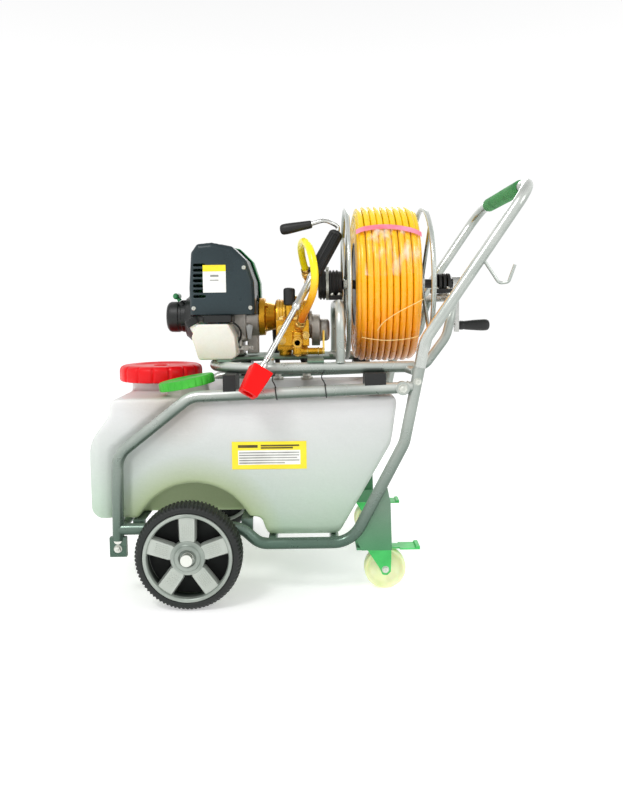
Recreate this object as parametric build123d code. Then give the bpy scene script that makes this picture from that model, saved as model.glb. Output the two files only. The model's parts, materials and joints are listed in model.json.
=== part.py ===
from build123d import *
from math import cos, pi, radians, sin
import os

# Wheeled sprayer cart. Millimetres, +Z up, front wheels at -X, push handle at +X.
# The origin is on the floor under the middle of the whole cart.

# Driving dimensions: frame
TUBE_R = 11                      # frame tube, 22 mm outside
RAIL_Y = 205                     # centre of each side frame
RAIL_Z = 391                     # top rail at the front bend
RAIL_END = (200, 404)            # rear end of the top rail, a little higher
BOSS = (181, 403)                # clamp bolt at the rear end of the top rail
LOW_Z = 105                      # bottom rail behind the wheels
AXLE_RAIL_Z = 137                # rail beside the wheels
LEG_X = -363                     # front leg
FRONT_BEND_X = -221              # where the front leg's slope meets the top rail
SOCKET_TOP = (214, 441)          # top of the rear leg, where the handle enters
LEG_BEND = (185, 298)            # rear leg's bend
HEEL = (83, LOW_Z)               # lower end of the rear diagonal
STEM_R = 9.0                     # handle's stem inside the socket
STEM_LENGTH = 110
RUN_GAP = 0.06                   # running fit, radial
PLATFORM_Y = 170
PLATFORM_Z = 440
PLATFORM_X = -193
PLATFORM_BEND = 125
PLATFORM_END = 208

# Wheels and casters
AXLE_X, AXLE_Z, AXLE_R = -223, 100, 8
WHEEL_R, WHEEL_Y0, WHEEL_WIDTH = 100, 221, 49
RIM_R = 83
CASTER_X, CASTER_Y, CASTER_TRAIL = 126, 163, 24
CASTER_R, CASTER_HALF_WIDTH = 41, 12
CASTER_PLATE_Z = 89
KING_R = 5.0
PEDAL_X = 164.5                  # brake pedal's hinge line

# Tank
TANK_HALF, TANK_WALL = 190, 4
TANK_TOP, TANK_FRONT_Z, TANK_SUMP_Z = 386, 152, 114.2
NOSE_X, TANK_TAIL = -442, 177
LID_X, LID_R, LID_Z, LID_H = -318, 88, 404, 34
NECK_R = 62
CAP_X, CAP_Y, CAP_Z, CAP_R, CAP_TILT = -236, -144, 404, 55, 10

# Engine and pump, in line on one shaft along X
SHAFT_Z = 538
DECK_Z = 451                     # top of the platform tubes
SHROUD_FRONT, SHROUD_MID, SHROUD_BACK = -86, 32, 86

# Hose reel, on an axle along X
REEL_Z = 605
REEL_AXLE_R = 10
HOOP_R, HOOP_ROD = 158, 5
HOOP_X = (86, 250)
COIL_X0, COIL_X1, COIL_R, CORE_R = 101, 229, 169, 90
POST_R = 9
FRONT_POST_X, REAR_POST_X = 66, 290
CRANK_DROP = 91

# Hoses and gun
LINK_R = 7.5
SUCTION_R = 8
GUN_TOP = Vector(64, -100, 706)
GUN_END = Vector(-84, -230, 443)
LANCE_R = 5.5

LINK_ROUTE = [
    (-12, -98, 524), (-6, -118, 540), (6, -146, 563), (16, -174, 588), (19, -188, 620),
    (14, -180, 655), (5, -153, 682), (-4, -119, 690), (-9, -86, 683), (-8, -58, 667), (-4, -35, 647),
    (2, -20, 629),
]
SUCTION_ROUTE = [
    (-30, 62, 500), (-30, 92, 494), (-26, 122, 476), (-14, 138, 448), (-4, 142, 418), (-2, 142, 386.5),
]
RETURN_R = 6
RETURN_ROUTE = [
    (-60, 46, 566), (-62, 76, 574), (-70, 108, 560), (-76, 128, 526), (-76, 134, 486),
    (-72, 138, 446), (-70, 142, 412), (-70, 142, 386.5),
]

os.makedirs("parts", exist_ok=True)


# Basic shapes
def block(x0, x1, y0, y1, z0, z1):
    return Pos((x0 + x1) / 2, (y0 + y1) / 2, (z0 + z1) / 2) * Box(x1 - x0, y1 - y0, z1 - z0)


def rod(a, b, r):
    a, b = Vector(*a), Vector(*b)
    low = (Align.CENTER, Align.CENTER, Align.MIN)
    return Plane(origin=a, z_dir=b - a) * Cylinder(r, (b - a).length, align=low)


def cone(a, b, r0, r1):
    a, b = Vector(*a), Vector(*b)
    low = (Align.CENTER, Align.CENTER, Align.MIN)
    return Plane(origin=a, z_dir=b - a) * Cone(r0, r1, (b - a).length, align=low)


def tube(points, bends, r=TUBE_R):
    path = FilletPolyline(*points, radius=bends)
    return sweep(Plane(origin=path @ 0, z_dir=path % 0) * Circle(r), path=path)


def arc_radii(points):
    """The largest radius that each corner of a hose's route has room for."""
    found = []
    for a, b, c in zip(points, points[1:], points[2:]):
        into, out = Vector(*b) - Vector(*a), Vector(*c) - Vector(*b)
        half_turn = radians(into.get_angle(out)) / 2
        found.append(0.45 * min(into.length, out.length) / (sin(half_turn) / cos(half_turn)))
    return found


def hose(name, points, r):
    radii = arc_radii(points)
    print(name, "radii", [round(x) for x in radii])
    return tube(points, radii, r)


def along_x(x0, x1, y, z, r):
    return rod((x0, y, z), (x1, y, z), r)


def along_y(y0, y1, x, z, r):
    return rod((x, y0, z), (x, y1, z), r)


def along_z(z0, z1, x, y, r):
    return rod((x, y, z0), (x, y, z1), r)


def ring_x(x0, x1, z, outer, inner):
    return along_x(x0, x1, 0, z, outer) - along_x(x0 - 1, x1 + 1, 0, z, inner)


def slab(points, y0, y1):
    """A plate whose outline is given in X and Z."""
    outline = make_face(Polyline(*[(x, y0, z) for x, z in points], close=True))
    return extrude(outline, amount=y1 - y0, dir=(0, 1, 0))


def both(make):
    return make(-1) + make(1)


# Frame
LEAN = Vector(SOCKET_TOP[0] - LEG_BEND[0], 0, SOCKET_TOP[1] - LEG_BEND[1]).normalized()


def socket_point(side, up):
    return Vector(SOCKET_TOP[0], side * RAIL_Y, SOCKET_TOP[1]) + LEAN * up


def side_frame(side):
    y = side * RAIL_Y
    front = tube(
        [(LEG_X - 3, y, 116), (LEG_X, y, 280), (FRONT_BEND_X, y, RAIL_Z), (RAIL_END[0], y, RAIL_END[1])],
        [50, 50],
    )
    rear = tube(
        [(SOCKET_TOP[0], y, SOCKET_TOP[1]), (LEG_BEND[0], y, LEG_BEND[1]), (HEEL[0], y, HEEL[1]),
         (-94, y, LOW_Z), (-129, y, AXLE_RAIL_Z), (LEG_X, y, AXLE_RAIL_Z)],
        [60, 60, 40, 40],
    )
    foot = block(LEG_X - 19, LEG_X + 13, y - 5, y + 5, 84, 122)
    boss = along_y(y - side * 4, y + side * 13.5, *BOSS, 13)
    bore = rod(socket_point(side, -STEM_LENGTH - 8), socket_point(side, 1), STEM_R + RUN_GAP)
    return front + rear + foot + boss - bore


def cross_tubes():
    inner = RAIL_Y - 9
    low = [along_y(-inner, inner, x, LOW_Z, 9) for x in (-70, 50)]
    front = [along_y(-inner, inner, LEG_X, AXLE_RAIL_Z, 9)]
    tray = [block(x, x + 22, -inner + 2, inner - 2, 148, 151) for x in (-340, -130)]
    lugs = [
        block(x, x + 22, s * 188 - 6, s * 188 + 6, 126, 148) for x in (-340, -130) for s in (-1, 1)
    ]
    trays = [t + l0 + l1 for t, l0, l1 in zip(tray, lugs[0::2], lugs[1::2])]
    frames = both(side_frame)
    return [piece - frames for piece in low + front + trays]


def wheel_axle():
    return along_y(-281, 281, AXLE_X, AXLE_Z, AXLE_R) + both(
        lambda s: along_y(s * 273.5, s * 281, AXLE_X, AXLE_Z, 11)
    )


def axle_brackets():
    def bracket(s):
        plate = slab(
            [(AXLE_X - 22, 126), (AXLE_X + 22, 126), (AXLE_X + 13, 88), (AXLE_X - 13, 88)],
            s * RAIL_Y - 4, s * RAIL_Y + 4,
        )
        boss = along_y(s * 190, s * 218, AXLE_X, AXLE_Z, 13)
        return plate + boss - along_y(s * 180, s * 225, AXLE_X, AXLE_Z, AXLE_R)
    return [bracket(-1), bracket(1)]


def caster_mount(s):
    y = s * RAIL_Y
    skirt = slab([(150, 222), (158, 181), (160, 89), (102, 89), (93, 107), (88, 120)], y - 1.5, y + 1.5)
    inner, outer = sorted((s * 126, y))
    plate = block(92, 160, inner, outer, CASTER_PLATE_Z, CASTER_PLATE_Z + 4)
    brace = slab([(92, 91), (160, 91), (156, 118), (104, 118)], s * 126, s * 126 + 3)
    cup = along_z(87, CASTER_PLATE_Z, CASTER_X, s * CASTER_Y, 21)
    king = along_z(79.5, 90, CASTER_X, s * CASTER_Y, KING_R)
    nuts = [
        along_z(CASTER_PLATE_Z + 4, CASTER_PLATE_Z + 9, CASTER_X + dx, s * CASTER_Y + dy, 5)
        for dx in (-26, 26) for dy in (-24, 24)
    ]
    mount = skirt + plate + brace + cup + king
    for nut in nuts:
        mount += nut
    return mount - side_frame(s)


def platform_frame():
    y = PLATFORM_Y
    loop = tube(
        [(PLATFORM_END, -y, PLATFORM_Z), (PLATFORM_X, -y, PLATFORM_Z), (PLATFORM_X, y, PLATFORM_Z),
         (PLATFORM_END, y, PLATFORM_Z)],
        [PLATFORM_BEND, PLATFORM_BEND],
    )
    stubs = both(lambda s: rod((195, s * y, PLATFORM_Z - 4), (205, s * RAIL_Y, PLATFORM_Z - 6), 8))
    legs = both(lambda s: rod(socket_point(s, -60), socket_point(s, 30), TUBE_R + 0.3))
    rest = rod((-65.5, -y, 446), (-65.5, -y, 459), 3) + rod((-65.5, -y, 458), (-65.5, -236, 458), 3)
    return loop + rest + (stubs - legs) - both(side_frame)


def platform_blocks():
    """Rubber pads saddled between the top rails and the platform's tube."""
    tubes = platform_frame() + both(side_frame)
    return [
        block(x, x + w, *sorted((s * inner, s * 213)), z, PLATFORM_Z - 8) - tubes
        for x, w, inner, z in ((-158, 24, 138, 396), (110, 40, 158, 403)) for s in (-1, 1)
    ]


def frame_bolts():
    solids = []
    for s in (-1, 1):
        y = s * RAIL_Y
        clamp = socket_point(s, -26)
        solids.append(along_y(s * 210, s * 217, LEG_X - 3, 100, 7))
        solids.append(along_y(s * 218.5, s * 225, *BOSS, 8))
        solids.append(along_y(s * 216.1, s * 223, clamp.X, clamp.Z, 6.5))
    return solids


# Wheels
def tyre(s):
    a, b = s * WHEEL_Y0, s * (WHEEL_Y0 + WHEEL_WIDTH)
    band = along_y(a, b, AXLE_X, AXLE_Z, WHEEL_R)
    band = fillet(band.edges().filter_by(GeomType.CIRCLE), 9)
    return band - along_y(a - s, b + s, AXLE_X, AXLE_Z, RIM_R)


def rim(s):
    a, b = s * WHEEL_Y0, s * (WHEEL_Y0 + WHEEL_WIDTH)
    barrel = along_y(a, b, AXLE_X, AXLE_Z, RIM_R) - along_y(a - s, b + s, AXLE_X, AXLE_Z, RIM_R - 5)
    lip = along_y(b - s * 8, b, AXLE_X, AXLE_Z, RIM_R)
    lip -= along_y(b - s * 9, b + s, AXLE_X, AXLE_Z, RIM_R - 10)
    hub = along_y(a + s * 2, b + s * 1, AXLE_X, AXLE_Z, 33)
    spokes = [
        Pos(AXLE_X, 0, AXLE_Z) * Rot(0, 72 * k, 0) * Pos(-AXLE_X, 0, -AXLE_Z)
        * block(AXLE_X - 17, AXLE_X + 17, *sorted((b - s * 16, b - s * 6)), AXLE_Z + 25, AXLE_Z + 79)
        for k in range(5)
    ]
    wheel = barrel + lip + hub
    for spoke in spokes:
        wheel += spoke
    return wheel - along_y(a - s * 20, b + s * 20, AXLE_X, AXLE_Z, AXLE_R + RUN_GAP)


def caster_fork(s):
    y = s * CASTER_Y
    fork = along_z(83.4, 86.7, CASTER_X, y, 23)
    fork += block(CASTER_X - 15, CASTER_X + 36, y - 17, y + 17, 83.4, 86.7)
    for side in (-1, 1):
        inner, outer = sorted((y + side * 14, y + side * 17))
        cheek = slab(
            [(CASTER_X - 15, 86), (CASTER_X + 36, 86), (CASTER_X + CASTER_TRAIL + 12, 62),
             (CASTER_X + CASTER_TRAIL + 11, 36), (CASTER_X + CASTER_TRAIL + 4, 29),
             (CASTER_X + CASTER_TRAIL - 6, 30), (CASTER_X + CASTER_TRAIL - 12, 44)],
            inner, outer,
        )
        fork += cheek
    axle = along_y(y - 20, y + 20, CASTER_X + CASTER_TRAIL, CASTER_R, 5)
    return fork + axle - along_z(80, 90, CASTER_X, y, KING_R + RUN_GAP)


def caster_wheel(s):
    y = s * CASTER_Y
    x = CASTER_X + CASTER_TRAIL
    tread = along_y(y - CASTER_HALF_WIDTH, y + CASTER_HALF_WIDTH, x, CASTER_R, CASTER_R)
    tread = fillet(tread.edges().filter_by(GeomType.CIRCLE), 4)
    for side in (-1, 1):
        tread -= along_y(y + side * 8, y + side * 13, x, CASTER_R, 30) - along_y(
            y + side * 7, y + side * 14, x, CASTER_R, 12)
    return tread - along_y(y - 20, y + 20, x, CASTER_R, 5 + RUN_GAP)


def brake_pedal(s):
    y = s * CASTER_Y
    tread = block(CASTER_X + 52, CASTER_X + 92, y - 19, y + 19, 81, 84)
    neck = block(PEDAL_X, CASTER_X + 54, y - 13, y + 13, 81, 84)
    knuckle = along_y(y - 13, y + 13, PEDAL_X, 82.5, 1.5)
    toe = block(CASTER_X + 84, CASTER_X + 92, y - 19, y + 19, 83, 87.5)
    return neck + knuckle + tread + toe


# Handle
HANDLE_BEND = Vector(SOCKET_TOP[0], 0, SOCKET_TOP[1]) + LEAN * 53
HANDLE_TOP = Vector(427, 0, 788)


def handle_tube():
    def start(s):
        return socket_point(s, 0.4)

    def at(p, s):
        return (p.X, s * RAIL_Y, p.Z)

    bow = tube(
        [tuple(start(-1)), at(HANDLE_BEND, -1), at(HANDLE_TOP, -1), at(HANDLE_TOP, 1), at(HANDLE_BEND, 1),
         tuple(start(1))],
        [55, 52, 52, 55],
    )
    stems = [rod(socket_point(s, -STEM_LENGTH), socket_point(s, 4), STEM_R) for s in (-1, 1)]
    y = -RAIL_Y
    hook = tube([(331, y, 648), (364, y, 598), (380, y - 6, 600), (390, y - 12, 632)], [10, 7], 3)
    return bow + stems[0] + stems[1] + hook


def handle_grip():
    grip = along_y(-128, 128, HANDLE_TOP.X, HANDLE_TOP.Z, 15)
    grip = fillet(grip.edges().filter_by(GeomType.CIRCLE), 3)
    return grip - along_y(-140, 140, HANDLE_TOP.X, HANDLE_TOP.Z, TUBE_R)


# Tank
def tank_outline(inset):
    points = [
        (NOSE_X + 62, TANK_TOP), (NOSE_X + 58, 352), (NOSE_X + 24, 308), (NOSE_X + 3, 255), (NOSE_X, 206),
        (NOSE_X + 8, 168), (NOSE_X + 32, TANK_FRONT_Z), (-92, TANK_FRONT_Z), (-80, TANK_SUMP_Z),
        (58, TANK_SUMP_Z), (162, 292), (TANK_TAIL, TANK_TOP),
    ]
    face = make_face(Polyline(*points, close=True))
    face = fillet(face.vertices(), 14)
    face = offset(face, -inset) if inset else face
    return Plane.XZ * face


def tank_plan(inset):
    half = TANK_HALF - inset
    nose, tail = NOSE_X + inset, TANK_TAIL - inset
    corner_x, corner_y = nose + 16, half - 14
    side = ThreePointArc((corner_x, -corner_y), (nose, 0), (corner_x, corner_y))
    rest = Polyline((corner_x, corner_y), (nose + 34, half), (tail, half), (tail, -half),
                    (nose + 34, -half), (corner_x, -corner_y))
    face = make_face(Curve() + side + rest)
    return fillet(face.vertices(), 18 - inset)


def tank_body(inset):
    profile = extrude(tank_outline(inset), amount=TANK_HALF, both=True)
    plan = extrude(tank_plan(inset), amount=500)
    body = profile & plan
    for s in (-1, 1):
        body -= along_y(s * (142 - inset), s * 240, AXLE_X, AXLE_Z, 120 + inset)
    return body


CAP_AXIS = Vector(-sin(radians(CAP_TILT)), 0, cos(radians(CAP_TILT)))
CAP_SEAT = Vector(CAP_X, CAP_Y, CAP_Z)


def tank():
    shell = tank_body(0) - tank_body(TANK_WALL)
    neck = along_z(TANK_TOP - 2, LID_Z + 10, LID_X, 0, NECK_R)
    shell += neck
    shell -= along_z(TANK_TOP - 30, LID_Z + 20, LID_X, 0, NECK_R - 6)
    side_neck = rod(CAP_SEAT - CAP_AXIS * 20, CAP_SEAT + CAP_AXIS * 8, 41) & block(
        -400, 0, -200, 0, TANK_TOP - 3, 500)
    shell += side_neck
    shell -= rod(CAP_SEAT - CAP_AXIS * 40, CAP_SEAT + CAP_AXIS * 20, 34)
    for x in (-2, -70):
        shell += along_z(TANK_TOP - 2, TANK_TOP, x, 142, 16)
        shell -= along_z(TANK_TOP - 30, TANK_TOP + 1, x, 142, 5)
    return shell


def tank_lid():
    lid = along_z(LID_Z, LID_Z + LID_H, LID_X, 0, LID_R)
    lid = fillet(lid.edges().filter_by(GeomType.CIRCLE).sort_by(Axis.Z)[-1], 6)
    lid -= along_z(LID_Z - 1, LID_Z + 10.5, LID_X, 0, NECK_R + 0.6)
    lid -= along_z(LID_Z - 1, LID_Z + LID_H - 5, LID_X, 0, NECK_R - 4)
    lid -= along_z(LID_Z - 1, LID_Z + LID_H - 6, LID_X, 0, LID_R - 11) - along_z(
        LID_Z - 2, LID_Z + LID_H, LID_X, 0, NECK_R + 4)
    for k in range(16):
        angle = 2 * pi * k / 16
        x, y = LID_X + (LID_R + 6) * cos(angle), (LID_R + 6) * sin(angle)
        lid -= along_z(LID_Z - 1, LID_Z + LID_H + 1, x, y, 9)
    return lid


def side_cap():
    top = CAP_SEAT + CAP_AXIS * 18
    cap = rod(CAP_SEAT - CAP_AXIS * 0.5, top, CAP_R)
    cap -= rod(CAP_SEAT - CAP_AXIS * 1, CAP_SEAT + CAP_AXIS * 8.6, 41.6)
    seat = Plane(origin=CAP_SEAT, z_dir=CAP_AXIS)
    for place in PolarLocations(CAP_R + 2.4, 24):
        cap -= seat * place * Cylinder(4, 60)
    return cap


def tank_strainer():
    cup = along_z(300, LID_Z + 12, LID_X, 0, NECK_R - 6.4)
    cup -= along_z(303, LID_Z + 13, LID_X, 0, NECK_R - 8.4)
    rim_ring = along_z(LID_Z + 10.2, LID_Z + 12, LID_X, 0, NECK_R - 4.4)
    return cup + rim_ring - along_z(303, LID_Z + 13, LID_X, 0, NECK_R - 8.4)


def labels():
    caution = block(-145, -1, -TANK_HALF - 0.6, -TANK_HALF, 248, 301)
    engine = block(-210, -163, SHROUD_FRONT - 0.5, SHROUD_FRONT, 590, 646)
    return [caution, engine]


# Engine
def shroud_outline(inset, grow=0):
    points = [
        (-239, 544), (-240, 600), (-235, 672), (-222, 690), (-192, 693), (-149, 684), (-121, 656),
        (-106, 612), (-104, 544),
    ]
    points = [(x + (grow if x > -200 else 0), z + (grow * 0.6 if z > 650 else 0)) for x, z in points]
    face = make_face(Polyline(*points, close=True))
    face = fillet(face.vertices().sort_by(Axis.Y)[2:], 8)
    face = offset(face, -inset) if inset else face
    return Plane.XZ * face


FLANGE_ROOM = along_x(-130, -70, 0, SHAFT_Z, 46)


def engine_shroud():
    depth = SHROUD_MID - SHROUD_FRONT
    outer = Pos(0, SHROUD_FRONT, 0) * extrude(shroud_outline(0), amount=depth, dir=(0, 1, 0))
    inner = Pos(0, SHROUD_FRONT + 3, 0) * extrude(shroud_outline(3), amount=depth, dir=(0, 1, 0))
    shell = outer - inner - block(-236, -107, SHROUD_FRONT + 3, SHROUD_MID + 1, 540, 560) - FLANGE_ROOM
    for k in range(7):
        shell -= block(-231, -205, SHROUD_FRONT - 1, SHROUD_FRONT + 4, 580 + 10.6 * k, 585 + 10.6 * k)
    for k in range(5):
        shell -= block(-220 + 10 * k, -214 + 10 * k, SHROUD_FRONT + 10, SHROUD_FRONT + 46, 680, 700)
    return shell


def shroud_back():
    depth = SHROUD_BACK - SHROUD_MID
    outer = Pos(0, SHROUD_MID + 0.2, 0) * extrude(shroud_outline(0, 5), amount=depth, dir=(0, 1, 0))
    inner = Pos(0, SHROUD_MID - 3, 0) * extrude(shroud_outline(3, 5), amount=depth, dir=(0, 1, 0))
    return outer - inner - block(-236, -104, SHROUD_MID - 1, SHROUD_BACK - 3, 540, 560) - FLANGE_ROOM


def crankcase():
    case = fillet(block(-208, -128, -42, 42, 486, 556).edges().filter_by(Axis.X), 8)
    case += block(-200, -136, -34, 34, 459, 488)
    return case - along_x(-300, -90, 0, SHAFT_Z, 28) - block(-195, -141, -28, 28, 500, 570)


def cylinder():
    barrel = along_z(556.4, 660, -168, 0, 28)
    for k in range(8):
        barrel += block(-204, -132, -38, 38, 566 + 10 * k, 568.5 + 10 * k)
    head = block(-196, -144, -32, 32, 650, 668)
    return barrel + head - along_z(550, 640, -168, 0, 19)


def fan_housing():
    room = block(-262, -205, -110, 110, 456, 541) + block(-262, -241, -70, 70, 541, 610)
    body = cone((-258, 0, SHAFT_Z), (-210, 0, SHAFT_Z), 40, 88)
    hollow = cone((-257.9, 0, SHAFT_Z), (-209.9, 0, SHAFT_Z), 36, 84)
    shell = (body - hollow) & room
    shell += ring_x(-258, -254, SHAFT_Z, 42, 30)
    return shell - FUEL_ROOM


FUEL_ROOM = block(-236, -140, -130, -44, 440, 531)


def recoil_starter():
    drum = along_x(-300, -258.2, 0, SHAFT_Z + 2, 33)
    drum = fillet(drum.edges().filter_by(GeomType.CIRCLE).sort_by(Axis.X)[0], 7)
    eye = rod((-266, -16, 566), (-270, -16, 573), 7)
    return drum + eye - along_x(-295, -257, 0, SHAFT_Z + 2, 28)


def starter_grip():
    a, pull = Vector(-270.4, -16, 573.8), Vector(-0.5, 0, 0.866)
    stem = rod(a + pull * 0.6, a + pull * 7, 4.5)
    bar = rod(a + pull * 12 + Vector(0, -22, 0), a + pull * 12 + Vector(0, 22, 0), 6.5)
    bar = fillet(bar.edges().filter_by(GeomType.CIRCLE), 3)
    return stem + bar


def engine_fuel_tank():
    outline = [
        (-230, 500), (-219, 526), (-156, 526), (-143, 500), (-140, 462), (-150, 454.5), (-216, 454.5),
    ]
    body = slab(outline, -126, -48)
    body = fillet(body.edges().filter_by(Axis.Y), 5)
    inside = [
        (-225, 500), (-216, 522), (-159, 522), (-147, 498), (-145, 465), (-153, 458.5), (-213, 458.5),
    ]
    neck = rod((-219, -104, 508), (-231, -104, 530), 10)
    return body + neck - slab(inside, -122.5, -51.5) - rod((-214, -104, 499), (-233, -104, 534), 6)


def fuel_cap():
    a, b = Vector(-231, -104, 530), Vector(-12, 0, 22).normalized()
    cap = rod(a - b * 7, a + b * 8, 13.5)
    return cap - rod(a - b * 8, a + b * 0.4, 10.4)


def air_filter():
    case = block(-208, -150, -112, -47, 529, 543.4)
    carb = block(-186, -162, -47.6, -42.4, 508, 540)
    return fillet(case.edges().filter_by(Axis.Z), 5) + carb


def muffler():
    can = block(-206, -126, 88, 132, 566, 634)
    can = fillet(can.edges().filter_by(Axis.X), 10)
    pipe = along_x(-222, -205, 116, 582, 8)
    port = along_y(86.4, 89, -166, 600, 14)
    return can + pipe + port - along_x(-224, -214, 116, 582, 5.5)


def clutch_housing():
    bell = cone((-127.8, 0, SHAFT_Z), (-101.2, 0, SHAFT_Z), 44, 41)
    web = block(-127.8, -104, -16, 16, 459, 505)
    return bell + web - along_x(-140, -90, 0, SHAFT_Z, 36) - block(-140, -100, -90, 90, 543.6, 600)


def throttle_lever():
    lever = slab([(-124, 496), (-116, 496), (-113, 520), (-120, 524), (-127, 520)], -49, -46.5)
    return lever + along_y(-50, -46.5, -120, 496, 4) + along_y(-52, -46.5, -120, 518, 4)


def engine_mount():
    deck = block(-222, 48, -62, 62, DECK_Z, DECK_Z + 3.4)
    straps = block(2, 34, -178, 178, DECK_Z, DECK_Z + 3.4)
    straps += block(-178, -150, -132, 132, DECK_Z, DECK_Z + 3.4)
    feet = [along_z(DECK_Z + 3.4, 459, x, y, 12) for x in (-190, -146) for y in (-22, 22)]
    mount = deck + straps
    for foot in feet:
        mount += foot
    link = along_x(48, FRONT_POST_X - 9, -20, DECK_Z + 2, 3)
    return mount + link


def drive_shaft():
    shaft = along_x(-234, -4, 0, SHAFT_Z, 8)
    flywheel = along_x(-232, -215, 0, SHAFT_Z, 27)
    crank = along_x(-192, -144, 0, SHAFT_Z, 17)
    drum = along_x(-124, -104, 0, SHAFT_Z, 34)
    eccentric = along_x(-46, -14, 3, SHAFT_Z, 12)
    return shaft + flywheel + crank + drum + eccentric


# Pump
def pump_flange():
    bell = cone((-101, 0, SHAFT_Z), (-88, 0, SHAFT_Z), 41, 40) + cone(
        (-88, 0, SHAFT_Z), (-66, 0, SHAFT_Z), 33, 27)
    for k in range(4):
        angle = pi / 4 + k * pi / 2
        bell += along_x(-88, -83, 36 * cos(angle), SHAFT_Z + 36 * sin(angle), 4.5)
    return bell - along_x(-110, -60, 0, SHAFT_Z, 10)


def pump_crankcase():
    case = along_x(-65.8, 4, 0, SHAFT_Z, 36) + block(-60, 0, -26, 26, 480, SHAFT_Z)
    foot = block(-62, 2, -40, 40, 466, 482)
    for x in (-46, -14):
        for y in (-27, 27):
            foot += along_z(DECK_Z + 3.6, 468, x, y, 13)
    return case + foot - along_x(-67, -2, 0, SHAFT_Z, 20)


def pump_head():
    solids = [along_y(-78, -36.5, x, 514, 15) for x in (-44, -12)]
    manifold = block(-62, 6, -92, -78, 478, 532)
    head = manifold
    for s in solids:
        head += s
    column = along_z(DECK_Z + 10, 508, -18, -96, 10.5)
    side_rod = along_x(-18, 32, -96, 468, 7)
    mouth = Vector(*LINK_ROUTE[0])
    flow = (Vector(*LINK_ROUTE[1]) - mouth).normalized()
    outlet = rod(mouth - flow * 16, mouth, 9.5)
    regulator = along_z(530, 562, -34, -86, 9)
    suction = rod((-30, 35.5, 500), (-30, 61.8, 500), 9) & block(-60, 0, 26.2, 80, 480, 520)
    body = head + column + side_rod + outlet + regulator
    return body - along_x(-70, 5, 0, SHAFT_Z, 36) - block(-62, 2, -40, 40, 460, 538)


def air_dome():
    dome = fillet(along_x(28, 50, 0, 508, 24).edges().filter_by(GeomType.CIRCLE).sort_by(Axis.X)[-1], 9)
    return dome + along_x(4.2, 12, 0, 520, 30) + along_x(11, 29, 0, 508, 34)


def regulator_knob():
    return fillet(along_z(562.4, 598, -34, -86, 12).edges().filter_by(GeomType.CIRCLE), 2)


def outlet_nipple():
    nipple = along_y(-132, -103, -18, 487, 7) + along_y(-112, -103, -18, 487, 10)
    return nipple - along_z(DECK_Z + 10, 508, -18, -96, 10.5)


def valve_lever():
    return along_x(32.3, 37, -96, 468, 6) + block(33, 37, -99, -93, 468, 510)


# Reel
def reel_posts():
    y = PLATFORM_Y
    front = tube([(FRONT_POST_X, -y, DECK_Z - 2), (FRONT_POST_X, -y, 563), (FRONT_POST_X, y, 563),
                  (FRONT_POST_X, y, DECK_Z - 2)], [50, 50], POST_R)
    end = PLATFORM_END
    rear = tube(
        [(end, -y, PLATFORM_Z), (end + 20, -y, PLATFORM_Z), (272, -y + 3, 498), (REAR_POST_X, -y + 6, 574),
         (REAR_POST_X, y - 6, 574), (272, y - 3, 498), (end + 20, y, PLATFORM_Z), (end, y, PLATFORM_Z)],
        [30, 60, 50, 50, 60, 30], POST_R)
    return [front - platform_frame(), rear]


def reel_bearings():
    front = along_x(26, 79, 0, REEL_Z, 30)
    for k in range(5):
        front += along_x(30 + 10 * k, 34 + 10 * k, 0, REEL_Z, 32)
    front += block(48, 78, -30, 30, 572.2, 600)
    rear = block(272, 313, -22, 22, 583.3, REEL_Z + 22)
    rear = fillet(rear.edges().filter_by(Axis.X), 4)
    bore = along_x(20, 330, 0, REEL_Z, REEL_AXLE_R + RUN_GAP)
    port = Vector(*LINK_ROUTE[-1])
    flow = (port - Vector(*LINK_ROUTE[-2])).normalized()
    swivel = along_x(-4, 25.8, 0, REEL_Z, 13) + rod(port, port + flow * 26, 9)
    return [front - bore, rear - bore, swivel]


def reel_drum():
    axle = along_x(27, 332, 0, REEL_Z, REEL_AXLE_R)
    core = ring_x(COIL_X0 + 2, COIL_X1 - 2, REEL_Z, CORE_R - 1, CORE_R - 4)
    webs = [ring_x(x, x + 3, REEL_Z, CORE_R - 3, 8) for x in (COIL_X0 + 4, COIL_X1 - 7)]
    return axle + core + webs[0] + webs[1]


def reel_hoops():
    hoops = []
    for x in HOOP_X:
        hoop = Pos(x, 0, REEL_Z) * Rot(0, 90, 0) * Torus(HOOP_R, HOOP_ROD)
        for k in range(4):
            a = radians(45 + 90 * k)
            hoop += rod((x, 14 * cos(a), REEL_Z + 14 * sin(a)),
                        (x, (HOOP_R - 1) * cos(a), REEL_Z + (HOOP_R - 1) * sin(a)), 4)
        hoop += along_x(x - 5, x + 5, 0, REEL_Z, 18)
        hoops.append(hoop - along_x(x - 10, x + 10, 0, REEL_Z, REEL_AXLE_R))
    return hoops


def wound_hose():
    coil = ring_x(COIL_X0, COIL_X1, REEL_Z, COIL_R, CORE_R - 0.6)
    return fillet(coil.edges().filter_by(GeomType.CIRCLE).sort_by(SortBy.LENGTH)[-2:], 6)


def crank_arm():
    hub = along_x(316, 332, 0, REEL_Z, 15) - along_x(310, 340, 0, REEL_Z, REEL_AXLE_R)
    arm = slab([(322, 590), (330, 590), (330, 500), (322, 500)], -9, 9)
    pin = along_x(320, 394, 0, REEL_Z - CRANK_DROP, 4)
    return hub + arm + pin


def crank_grip():
    grip = along_x(331, 397, 0, REEL_Z - CRANK_DROP, 12.5)
    grip = fillet(grip.edges().filter_by(GeomType.CIRCLE), 4)
    return grip - along_x(325, 394.4, 0, REEL_Z - CRANK_DROP, 4 + RUN_GAP)


# Spray gun
GUN_AXIS = (GUN_END - GUN_TOP).normalized()


def on_gun(distance):
    return GUN_TOP + GUN_AXIS * distance


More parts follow.
